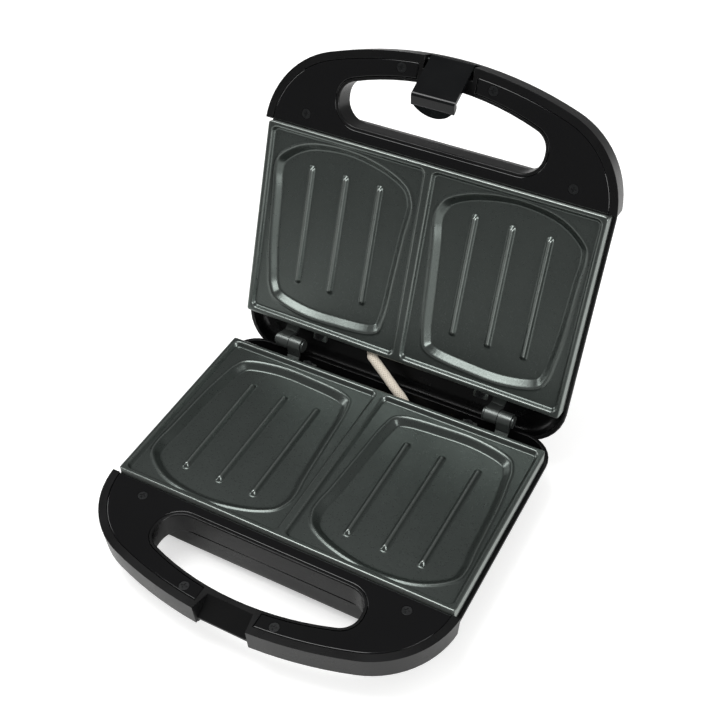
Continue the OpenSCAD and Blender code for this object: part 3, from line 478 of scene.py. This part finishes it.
def round_folds(bm: bmesh.types.BMesh, width: float, least: float) -> None:
    """Rounds the long convex edges that run along X, one by one.

    Args:
        bm: Mesh to round.
        width: Width of the rounding, in the mesh's own unit.
        least: Shorter edges than this stay sharp.
    """
    for edge in [e for e in bm.edges if e.is_convex and e.calc_face_angle(0.0) > math.radians(FOLD_ANGLE)
                 and abs(e.verts[0].co.x - e.verts[1].co.x) > least]:
        bevel(bm, [edge], width, FOLD_SEGMENTS)


def join_into(bm: bmesh.types.BMesh, other: bmesh.types.BMesh) -> None:
    """Adds one mesh to another.

    Args:
        bm: Mesh that is added to.
        other: Mesh that is added; it is freed.
    """
    mesh = bpy.data.meshes.new("part")
    other.to_mesh(mesh)
    other.free()
    bm.from_mesh(mesh)
    bpy.data.meshes.remove(mesh)


def block(low: Sequence[float], high: Sequence[float], edge: float = 0.0) -> bmesh.types.BMesh:
    """Makes a box between two corners.

    Args:
        low: Corner with the least x, y and z.
        high: Corner with the greatest x, y and z.
        edge: Width of the bevel on its edges, or 0 for none.

    Returns:
        Mesh of the box.
    """
    bm = bmesh.new()
    size = [h - l for l, h in zip(low, high)]
    middle = [(h + l) / 2 for l, h in zip(low, high)]
    bmesh.ops.create_cube(bm, size=1.0, matrix=Matrix.Translation(middle) @ Matrix.Diagonal((*size, 1.0)))
    if edge > 0.0:
        soften(bm, edge)
    return bm


def rod(centre: Sequence[float], radius: float, depth: float, segments: int = 40) -> bmesh.types.BMesh:
    """Makes an upright cylinder.

    Args:
        centre: Its centre.
        radius: Its radius.
        depth: Its height.
        segments: Number of its sides.

    Returns:
        Mesh of the cylinder.
    """
    bm = bmesh.new()
    bmesh.ops.create_cone(bm, cap_ends=True, segments=segments, radius1=radius, radius2=radius, depth=depth,
                          matrix=Matrix.Translation(centre))
    return bm


def finished(bm: bmesh.types.BMesh, name: str, matrix: Matrix, finish: Finish,
             smooth_angle: float = 35.0) -> bpy.types.Object:
    """Turns a mesh into a piece in its place, smooth up to an angle.

    Args:
        bm: Mesh of the piece; it is freed.
        name: Name of the piece.
        matrix: Matrix from the mesh's frame to metres in place.
        finish: Finish of the piece.
        smooth_angle: Edges sharper than this stay sharp, in degrees.

    Returns:
        The new object.
    """
    bmesh.ops.transform(bm, matrix=matrix, verts=bm.verts)
    for face in bm.faces:
        face.smooth = True
    for edge in bm.edges:
        edge.smooth = len(edge.link_faces) != 2 or edge.calc_face_angle(0.0) < math.radians(smooth_angle)
    mesh = bpy.data.meshes.new(name)
    bm.to_mesh(mesh)
    bm.free()
    piece = bpy.data.objects.new(name, mesh)
    bpy.context.scene.collection.objects.link(piece)
    mesh.materials.append(finish.material())
    LOG.info("%s: %d faces", name, len(mesh.polygons))
    return piece


@dataclass(frozen=True)
class Trim:
    """Finish, slot and edge rounding of a piece that keeps the form of its node.

    The angle is the least one that is rounded, in degrees. Edges shorter than least stay
    sharp, and fold is the width of the rounding on long folds. Lengths are in mm.
    """

    finish: Finish
    slot: str
    width: float
    angle: float = 45.0
    segments: int = 2
    least: float = 0.0
    fold: float = 0.0


def refined(nodes: dict, node: str, trim: Trim) -> bpy.types.Object:
    """Makes a piece from a merged copy of a node, with its edges rounded.

    Args:
        nodes: Node objects by name.
        node: Node that the piece stands for.
        trim: Finish of the piece and rounding of its edges.

    Returns:
        The new object.
    """
    bm = bmesh.new()
    bm.from_mesh(nodes[node].data)
    bmesh.ops.remove_doubles(bm, verts=bm.verts, dist=SAME_POINT)
    bmesh.ops.dissolve_limit(bm, angle_limit=math.radians(FLAT_ANGLE), verts=bm.verts, edges=bm.edges)
    if trim.fold > 0.0:
        round_folds(bm, trim.fold * MM, FOLD_LENGTH * MM)
    soften(bm, trim.width * MM, trim.angle, trim.segments, trim.least * MM)
    piece = finished(bm, node + "_piece", Matrix.Identity(4), trim.finish)
    # Keeps the broad faces flat, so that only the rounded edges shade softly
    weighted = piece.modifiers.new("weighted", "WEIGHTED_NORMAL")
    weighted.keep_sharp = True
    weighted.weight = FACE_WEIGHT
    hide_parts(node)
    return piece


def ride(piece: bpy.types.Object, body: str, slot: str, *nodes: str) -> None:
    """Lets a piece ride on a body, and hides the nodes that it stands in for.

    Args:
        piece: Piece that rides.
        body: Name of the body.
        slot: Name of the material slot; not used.
        *nodes: Nodes that the piece stands in for, if they are to be named here.
    """
    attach(piece, body)
    if nodes:
        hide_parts(*nodes)


# ---------------------------------------------------------------- plates


@dataclass
class PlateSize:
    """Sizes of one cast plate, in mm, in the frame of a half lying face up."""

    # The casting: outline, rim, land inside the rim, bar in the middle, floor and underside
    width: float = 230.0
    depth: float = 134.5
    rim_z: float = -0.3
    rim_w: float = 3.0
    land_z: float = -3.5
    land_r: float = 4.0
    divider: float = 2.5
    floor_z: float = -7.5
    under_z: float = -10.5
    # Width of the cavities' walls, and where the middle rib of a cavity stands
    slope: float = 3.8
    cavity_x: float = 57.7
    rib_pitch: float = 24.7
    rib_ends: tuple[float, float] = (-111.0, -28.0)
    rib_h: float = 2.6
    # Half the width of a rib's top, width of its flanks, and length of the slopes at its ends
    rib_top: float = 0.7
    rib_flank: float = 1.4
    rib_fillet: float = 0.4
    rib_fall: float = 2.4
    rib_end_fillet: float = 0.6
    fillet: float = 0.5
    rim_fall: float = 1.3
    # Bead round each cavity: height, width, distance from the wall, and where it fades out at the rim
    bead_h: float = 0.55
    bead_w: float = 0.75
    bead_out: float = 1.3
    bead_from_rim: float = 2.0
    bead_fade: float = 1.5
    # Rounding of the outer edge, side of the grid's cells, and radius of the plan's corners
    edge_r: float = 0.8
    edge_drop: float = 0.5
    step: float = 0.62
    corner: float = 2.5
    # Mounting ears: the front ones are given from the front edge, the back ones from the back edge
    ear_x: float = 60.0
    ear_half: float = 5.0
    ear_t: float = 2.5
    ear_edge: float = 0.5
    front_ear: tuple[float, float] = (-6.2, 1.0)
    back_ear: tuple[float, float] = (-1.0, 8.5)
    # Studs under the plate: middle of the right one, radius and height
    stud: tuple[float, float, float] = (40.0, -71.0, -13.8)
    stud_r: float = 4.0
    stud_h: float = 6.9


class Plate:
    """A cast plate with two cavities, each with sloping walls and three ribs, and with mounting ears."""

    # Turning points of the right cavity's edge, as listed: x from the plate's middle, y
    # from its back edge
    EDGE = (
        (8.8, -100.0), (10.0, -108.7), (16.0, -117.0), (33.0, -124.2), (59.0, -128.2), (86.0, -124.4),
        (103.4, -113.5), (107.0, -103.0), (106.0, -88.0), (104.5, -53.5), (102.3, -33.7), (100.0, -21.6),
        (93.8, -14.0), (73.0, -9.4), (50.0, -9.6), (22.0, -13.0), (15.3, -24.2), (12.6, -57.5),
        (10.6, -85.0))
    # Steps drawn from one to the next
    EDGE_STEPS = 8
    # Edges sharper than this stay sharp, in degrees
    SMOOTH_ANGLE = 75.0

    def __init__(self, half: Half, size: PlateSize | None = None) -> None:
        """Sets the half that the plate belongs to.

        Args:
            half: Base or lid.
            size: Sizes, if not the usual ones.
        """
        self.half = half
        self.size = size or PlateSize()

    def cavity_edge(self) -> np.ndarray:
        """Draws the right cavity's edge.

        Returns:
            Points of a smooth closed line.
        """
        points = np.array(self.EDGE)
        t = np.linspace(0.0, 1.0, self.EDGE_STEPS + 1)[:-1, None]
        out = []
        for i in range(len(points)):
            out.append(curve_point([points[(i + k) % len(points)] for k in (-1, 0, 1, 2)], t))
        return np.vstack(out)

    @staticmethod
    def depth_inside(line: np.ndarray, x: np.ndarray, y: np.ndarray) -> np.ndarray:
        """Returns how far points lie inside a closed line; outside it is negative.

        Args:
            line: Points of the line.
            x: The points' x.
            y: The points' y.

        Returns:
            Distance to the line for each point.
        """
        nearest = np.full(x.shape, 1e9)
        inside = np.zeros(x.shape, bool)
        for (ax, ay), (bx, by) in zip(line, np.roll(line, -1, axis=0)):
            dx, dy = bx - ax, by - ay
            t = np.clip(((x - ax) * dx + (y - ay) * dy) / (dx * dx + dy * dy), 0.0, 1.0)
            nearest = np.minimum(nearest, np.hypot(x - ax - t * dx, y - ay - t * dy))
            if ay != by:
                inside ^= ((ay > y) != (by > y)) & (x < ax + (y - ay) * dx / dy)
        return np.where(inside, nearest, -nearest)

    @staticmethod
    def slope(distance: np.ndarray, width: float, fillet: float) -> np.ndarray:
        """Returns a straight slope from 0 to 1 over width, with a fillet at both ends.

        Args:
            distance: Distance of each point past the slope's start.
            width: Width of the slope.
            fillet: Half width of each fillet.

        Returns:
            Share of the whole rise at each point.
        """
        def ramp(d: np.ndarray) -> np.ndarray:
            """Returns zero before the start and d after it, with a rounded bend."""
            return np.where(np.abs(d) < fillet, (d + fillet) ** 2 / (4 * fillet), np.maximum(d, 0.0))
        return (ramp(distance) - ramp(distance - width)) / width

    def height(self, x: np.ndarray, y: np.ndarray) -> np.ndarray:
        """Returns the height of the cooking face.

        Args:
            x: Distance from the plate's middle.
            y: Distance behind the plate's back edge, negative on the plate.

        Returns:
            Height of each point.
        """
        s = self.size
        side = np.abs(x)
        low, high = (s.divider, s.rim_w - s.depth), (s.width / 2 - s.rim_w, -s.rim_w)
        mid_x, mid_y = (low[0] + high[0]) / 2, (low[1] + high[1]) / 2
        dx = np.abs(side - mid_x) - ((high[0] - low[0]) / 2 - s.land_r)
        dy = np.abs(y - mid_y) - ((high[1] - low[1]) / 2 - s.land_r)
        pocket = s.land_r - np.hypot(np.maximum(dx, 0), np.maximum(dy, 0)) - np.minimum(np.maximum(dx, dy), 0)
        z = s.rim_z + (s.land_z - s.rim_z) * self.slope(pocket, s.rim_fall, s.fillet)
        cavity = self.depth_inside(self.cavity_edge(), side, y)
        # A fine raised bead runs along the cavity's edge before the wall drops
        bead = np.exp(-((cavity + s.bead_out) / s.bead_w) ** 2)
        z = z + s.bead_h * bead * np.clip((pocket - s.bead_from_rim) / s.bead_fade, 0.0, 1.0)
        z = z + (s.floor_z - s.land_z) * self.slope(cavity, s.slope, s.fillet)
        for turn in (-1, 0, 1):
            across = np.abs(side - s.cavity_x - turn * s.rib_pitch)
            to_end = np.minimum(y - s.rib_ends[0], s.rib_ends[1] - y)
            flank = 1.0 - self.slope(across - s.rib_top, s.rib_flank, s.rib_fillet)
            rib = s.floor_z + s.rib_h * flank * self.slope(to_end, s.rib_fall, s.rib_end_fillet)
            z = np.where(across < s.rib_top + s.rib_flank + s.fillet, np.maximum(z, rib), z)
        outer = np.minimum(s.width / 2 - side, np.minimum(-y, y + s.depth))
        return z - s.edge_drop * (1.0 - np.clip(outer / s.edge_r, 0.0, 1.0)) ** 2

    def mesh(self) -> bmesh.types.BMesh:
        """Builds the plate's body: cooking face, sides and underside.

        Returns:
            Mesh of the body, in mm.
        """
        s = self.size
        across, along = round(s.width / s.step), round(s.depth / s.step)
        bm = bmesh.new()
        bmesh.ops.create_grid(bm, x_segments=across, y_segments=along, size=0.5)
        co = np.array([v.co for v in bm.verts])
        x, y = co[:, 0] * s.width, (co[:, 1] - 0.5) * s.depth
        # Rounds the plan's corners
        cx, cy = s.width / 2 - s.corner, s.depth / 2 - s.corner
        over_x, over_y = np.maximum(np.abs(x) - cx, 0), np.maximum(np.abs(y + s.depth / 2) - cy, 0)
        reach = np.hypot(over_x, over_y)
        pull = np.where(reach > 0, np.maximum(over_x, over_y) / np.maximum(reach, 1e-9), 1.0)
        x = np.where(over_x > 0, np.sign(x) * (cx + over_x * pull), x)
        y = np.where(over_y > 0, -s.depth / 2 + np.sign(y + s.depth / 2) * (cy + over_y * pull), y)
        z = self.height(x, y)
        for vert, place in zip(bm.verts, np.column_stack([x, y, z])):
            vert.co = place
        made = bmesh.ops.extrude_edge_only(bm, edges=[e for e in bm.edges if e.is_boundary])["geom"]
        for vert in (g for g in made if isinstance(g, bmesh.types.BMVert)):
            vert.co.z = s.under_z
        bmesh.ops.contextual_create(bm, geom=[e for e in bm.edges if e.is_boundary])
        bmesh.ops.recalc_face_normals(bm, faces=bm.faces)
        return bm

    def build(self) -> bpy.types.Object:
        """Builds the plate on its half.

        Returns:
            The new piece.
        """
        s = self.size
        bm = self.mesh()
        for side in (-1, 1):
            x = side * s.ear_x
            for front, back in ((s.front_ear[0] - s.depth, s.front_ear[1] - s.depth), s.back_ear):
                low = (x - s.ear_half, front, s.under_z)
                high = (x + s.ear_half, back, s.under_z + s.ear_t)
                join_into(bm, block(low, high, s.ear_edge))
            stud_x, stud_y, stud_z = s.stud
            join_into(bm, rod((side * stud_x, stud_y, stud_z), s.stud_r, s.stud_h))
        piece = finished(bm, f"{self.half.value}_plate_casting", self.half.matrix(), Finish.NON_STICK,
                         self.SMOOTH_ANGLE)
        ride(piece, self.half.value, "nonstick_casting", f"{self.half.value}_plate")
        return piece


# ---------------------------------------------------------------- connecting lead


@dataclass
class LeadSize:
    """Route and thickness of the sleeved lead, in mm, in the frame of the base lying face up."""

    radius: float = 3.3
    sides: int = 20
    steps: int = 8
    # Radius at the two ends, its mean between them and its waves, as shares of the full one
    end_share: float = 0.9
    mean_share: float = 0.985
    wave_share: float = 0.015
    wave_turn: float = 0.9
    # Rings in one repeat of the braid
    braid_rows: float = 12.0
    in_base: tuple[tuple[float, float, float], ...] = (
        (22.5, -15.3, -28.0), (22.5, -9.0, -28.0), (20.0, -1.0, -25.0), (17.0, 4.0, -19.0),
        (12.0, 8.0, -12.0), (4.0, 11.0, -7.0), (-3.0, 14.0, -3.0), (-11.0, 17.0, 2.0))
    in_lid: tuple[tuple[float, float, float], ...] = (
        (-18.0, 5.0, 5.0), (-20.0, 7.0, 10.0), (-24.0, 6.0, 16.0), (-29.0, 1.0, 21.0),
        (-36.0, -7.0, 23.0), (-44.4, -8.0, 23.0))


class ConnectingLead:
    """Leads in a braided sleeve that carry the supply from the base into the lid."""

    def __init__(self, size: LeadSize | None = None) -> None:
        """Sets the lead's sizes.

        Args:
            size: Sizes, if not the usual ones.
        """
        self.size = size or LeadSize()

    def route(self) -> list[Vector]:
        """Draws the middle line of the lead, as the open lid bends it.

        Returns:
            Points of the line, from the base to the lid.
        """
        turn = math.radians(LID_OPEN)
        cos, sin = math.cos(turn), math.sin(turn)
        points = [Vector(p) for p in self.size.in_base]
        for x, y, z in self.size.in_lid:
            away = y - HINGE_BACK
            points.append(Vector((x, HINGE_BACK + away * cos + z * sin, -away * sin + z * cos)))
        line = []
        last = len(points) - 1
        for i in range(last):
            corners = [points[max(0, i - 1)], points[i], points[i + 1], points[min(last, i + 2)]]
            line += [curve_point(corners, k / self.size.steps) for k in range(self.size.steps)]
        return line + [points[last]]

    def build(self) -> bpy.types.Object:
        """Builds the sleeve, with a UV map that runs round and along it.

        Returns:
            The new piece.
        """
        s = self.size
        line = self.route()
        rings = []
        side = Vector((0.0, 0.0, 1.0))
        for i, middle in enumerate(line):
            ahead = (line[min(i + 1, len(line) - 1)] - line[max(i - 1, 0)]).normalized()
            side = (side - ahead * side.dot(ahead)).normalized()
            other = ahead.cross(side)
            # The sleeve is drawn in a little at its two ends
            near_end = min(i, len(line) - 1 - i)
            share = s.mean_share + s.wave_share * math.sin(i * s.wave_turn)
            radius = s.radius * (s.end_share if near_end == 0 else share)
            rings.append([middle + radius * (side * math.cos(a) + other * math.sin(a))
                          for a in (2 * math.pi * k / s.sides for k in range(s.sides))])
        bm = bmesh.new()
        uv = bm.loops.layers.uv.new("sleeve")
        ring = ring_of(bm, rings[0])
        place = {v: (k, 0) for k, v in enumerate(ring)}
        for row, points in enumerate(rings[1:], start=1):
            ring = pull_ring(bm, ring, points)
            place.update({v: (k, row) for k, v in enumerate(ring)})
        for face in bm.faces:
            columns = [place[v][0] for v in face.verts]
            wraps = max(columns) == s.sides - 1 and min(columns) == 0
            for loop in face.loops:
                k, row = place[loop.vert]
                loop[uv].uv = ((s.sides if wraps and k == 0 else k) / s.sides, row / s.braid_rows)
        bmesh.ops.holes_fill(bm, edges=[e for e in bm.edges if e.is_boundary], sides=0)
        bmesh.ops.recalc_face_normals(bm, faces=bm.faces)
        at = Half.BASE.matrix()
        piece = finished(bm, "braided_sleeve", at, Finish.SLEEVE)
        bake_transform(piece)
        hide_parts("connecting_lead")
        return piece


# ---------------------------------------------------------------- toaster


HOUSING = Trim(Finish.HOUSING, "housing_plastic", 0.9, segments=3, least=1.5)
COVER = Trim(Finish.COVER, "cover_plastic", 0.9, segments=4, least=1.5)
LATCH = Trim(Finish.LATCH, "latch_plastic", 0.5, angle=50.0, segments=3, least=1.5, fold=1.6)
STRAP = Trim(Finish.STRAP, "hinge_steel", 0.25)
PIN = Trim(Finish.STRAP, "steel_parts", 0.3)
DARK_SCREW = Trim(Finish.BLACKENED, "dark_screws", 0.2)
SCREW = Trim(Finish.BLACKENED, "steel_parts", 0.2)
BRIGHT = Trim(Finish.ZINC, "steel_parts", 0.2)
GLAND = Trim(Finish.HOUSING, "gland_plastic", 0.4)
FOOT = Trim(Finish.RUBBER, "foot_rubber", 1.0, segments=3)
SHEET = Trim(Finish.SHEET, "reflector_sheet", 0.0)
SHEATH = Trim(Finish.SHEATH, "rod_sheath", 0.0)
CERAMIC = Trim(Finish.STEATITE, "ceramic_parts", 0.3)
LEAD = Trim(Finish.SILICONE, "lead_sheath", 0.0)

# How each node is finished; the plates and the connecting lead have classes of their own
TRIMS: dict[str, Trim] = {
    "base_housing": HOUSING, "lid_housing": HOUSING, "base_handle_cover": COVER, "lid_handle_cover": COVER,
    "base_cover_screws": DARK_SCREW, "lid_cover_screws": DARK_SCREW, "base_plate_screws": SCREW,
    "lid_plate_screws": SCREW, "base_hinge_screws": SCREW, "lid_hinge_screws": SCREW,
    "base_clamp_screws": BRIGHT, "lid_clamp_screws": BRIGHT,
    "base_rod_clamps": BRIGHT, "lid_rod_clamps": BRIGHT,
    "base_hinge_left": STRAP, "base_hinge_right": STRAP, "lid_hinge_left": STRAP, "lid_hinge_right": STRAP,
    "hinge_pin_left": PIN, "hinge_pin_right": PIN, "latch_pin": PIN, "latch": LATCH, "cord_gland": GLAND,
    "foot_front_left": FOOT, "foot_front_right": FOOT, "foot_rear_left": FOOT, "foot_rear_right": FOOT,
    "base_reflector": SHEET, "lid_reflector": SHEET, "base_heating_rod": SHEATH, "lid_heating_rod": SHEATH,
    "base_rod_insulators": CERAMIC, "lid_rod_insulators": CERAMIC,
    "thermostat": CERAMIC, "thermal_fuse": CERAMIC,
    "base_terminal_block": CERAMIC, "lid_terminal_block": CERAMIC, "base_leads": LEAD, "lid_leads": LEAD,
}


@dataclass
class SandwichToaster:
    """The whole toaster: trimmed node pieces, two plates and the sleeved lead."""

    frame: dict
    pieces: list[bpy.types.Object] = field(default_factory=list)

    def trimmed(self, node: str, trim: Trim) -> None:
        """Rounds a node's edges, or only gives it its finish.

        Args:
            node: Name of the node.
            trim: How the node is finished.
        """
        bodies = self.frame["record"]["behaviour"]["bodies"]
        body = next(name for name, members in bodies.items() if node in members)
        if trim.width > 0.0:
            piece = refined(self.frame["nodes"], node, trim)
            ride(piece, body, trim.slot)
            self.pieces.append(piece)
            return
        shown = self.frame["nodes"][node]
        shown.data.materials.clear()
        shown.data.materials.append(trim.finish.material())
        LOG.info("%s keeps its form", node)

    def build(self) -> None:
        """Builds every piece."""
        for node, trim in TRIMS.items():
            self.trimmed(node, trim)
        for half in Half:
            self.pieces.append(Plate(half).build())
        self.pieces.append(ConnectingLead().build())


# ---------------------------------------------------------------- studio


class Studio:
    """Pale floor, soft lights and the camera."""

    # Camera's place in metres, then its turn round Z, its angle above the horizon and its roll in degrees
    EYE = (0.25599, -0.44220, 0.60119)
    TURN, RISE, ROLL = 29.06, 43.84, -1.27
    # Focal length and sensor width, in mm
    LENS, SENSOR = 59.74, 36.0
    # Half the side of the floor in metres, and how far it is lifted towards white for the camera
    FLOOR_HALF = 0.8
    FLOOR_LIFT = 0.45
    # Name, place, side and power of each light
    LIGHTS = (
        ("top_softbox", (-0.32, -0.12, 1.3), 0.65, 9.0),
        ("right_softbox", (1.15, -0.35, 0.5), 0.6, 8.5),
        ("left_softbox", (-1.15, -0.1, 0.4), 0.5, 3.5))
    # Point in metres that the lights are turned to
    AIM = (0.0, 0.0, 0.08)
    # Level of the white surroundings as light, and in reflections
    WORLD_LIGHT, WORLD_GLOSS = 0.65, 0.16

    def floor(self) -> None:
        """Lays the floor."""
        bm = bmesh.new()
        bmesh.ops.create_grid(bm, x_segments=1, y_segments=1, size=self.FLOOR_HALF)
        mesh = bpy.data.meshes.new("floor")
        bm.to_mesh(mesh)
        bm.free()
        floor = bpy.data.objects.new("floor", mesh)
        material, tree, shader = new_surface("matt_white_board", {
            "Base Color": linear("#e6e6e5"), "Roughness": 0.7, "Specular IOR Level": 0.3,
            "Emission Color": (1.0, 1.0, 1.0, 1.0)})
        # Lifts the board towards white for the camera alone, so that its shadows stay but are faint
        path = add_node(tree, "ShaderNodeLightPath")
        factors = {0: path.outputs["Is Camera Ray"], 1: self.FLOOR_LIFT}
        lift = add_node(tree, "ShaderNodeMath", factors, operation="MULTIPLY")
        tree.links.new(lift.outputs[0], shader.inputs["Emission Strength"])
        mesh.materials.append(material)
        bpy.context.scene.collection.objects.link(floor)

    def light(self, name: str, place: Sequence[float], size: float, watts: float) -> None:
        """Hangs a square area light that points at the toaster.

        Args:
            name: Name of the light.
            place: Where it hangs, in metres.
            size: Length of its sides, in metres.
            watts: Its power.
        """
        data = bpy.data.lights.new(name, "AREA")
        data.energy, data.size = watts, size
        lamp = bpy.data.objects.new(name, data)
        lamp.location = place
        lamp.rotation_euler = (Vector(self.AIM) - Vector(place)).to_track_quat("-Z", "Y").to_euler()
        bpy.context.scene.collection.objects.link(lamp)

    def world(self) -> None:
        """Surrounds the scene with plain white."""
        world = bpy.data.worlds.new("studio")
        world.use_nodes = True
        tree = world.node_tree
        back = tree.nodes["Background"]
        back.inputs["Color"].default_value = (1.0, 1.0, 1.0, 1.0)
        path = add_node(tree, "ShaderNodeLightPath")
        is_glossy, is_camera = path.outputs["Is Glossy Ray"], path.outputs["Is Camera Ray"]
        mirrored = add_node(tree, "ShaderNodeMix", {0: is_glossy, 2: self.WORLD_LIGHT, 3: self.WORLD_GLOSS})
        level = add_node(tree, "ShaderNodeMix", {0: is_camera, 2: mirrored.outputs[0], 3: 1.0})
        tree.links.new(level.outputs[0], back.inputs["Strength"])
        bpy.context.scene.world = world

    def camera(self) -> None:
        """Sets the camera where the photograph was taken from."""
        a, e, r = (math.radians(v) for v in (self.TURN, self.RISE, self.ROLL))
        back = Vector((math.sin(a) * math.cos(e), -math.cos(a) * math.cos(e), math.sin(e)))
        right = Vector((math.cos(a), math.sin(a), 0.0))
        up = back.cross(right)
        right, up = math.cos(r) * right + math.sin(r) * up, math.cos(r) * up - math.sin(r) * right
        data = bpy.data.cameras.new("camera")
        data.sensor_width, data.lens = self.SENSOR, self.LENS
        camera = bpy.data.objects.new("camera", data)
        camera.matrix_world = Matrix.Translation(self.EYE) @ Matrix((right, up, back)).transposed().to_4x4()
        bpy.context.scene.collection.objects.link(camera)
        bpy.context.scene.camera = camera

    def build(self) -> None:
        """Sets up the whole studio."""
        self.floor()
        for name, place, size, watts in self.LIGHTS:
            self.light(name, place, size, watts)
        self.world()
        self.camera()
        bpy.context.scene.view_settings.view_transform = "Standard"


def main() -> None:
    """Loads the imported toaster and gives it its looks."""
    logging.basicConfig(level=logging.INFO, format="%(name)s: %(message)s")
    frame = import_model()
    toaster = SandwichToaster(frame)
    toaster.build()
    LOG.info("%d pieces built", len(toaster.pieces))
    Studio().build()


if __name__ == "__main__":
    main()
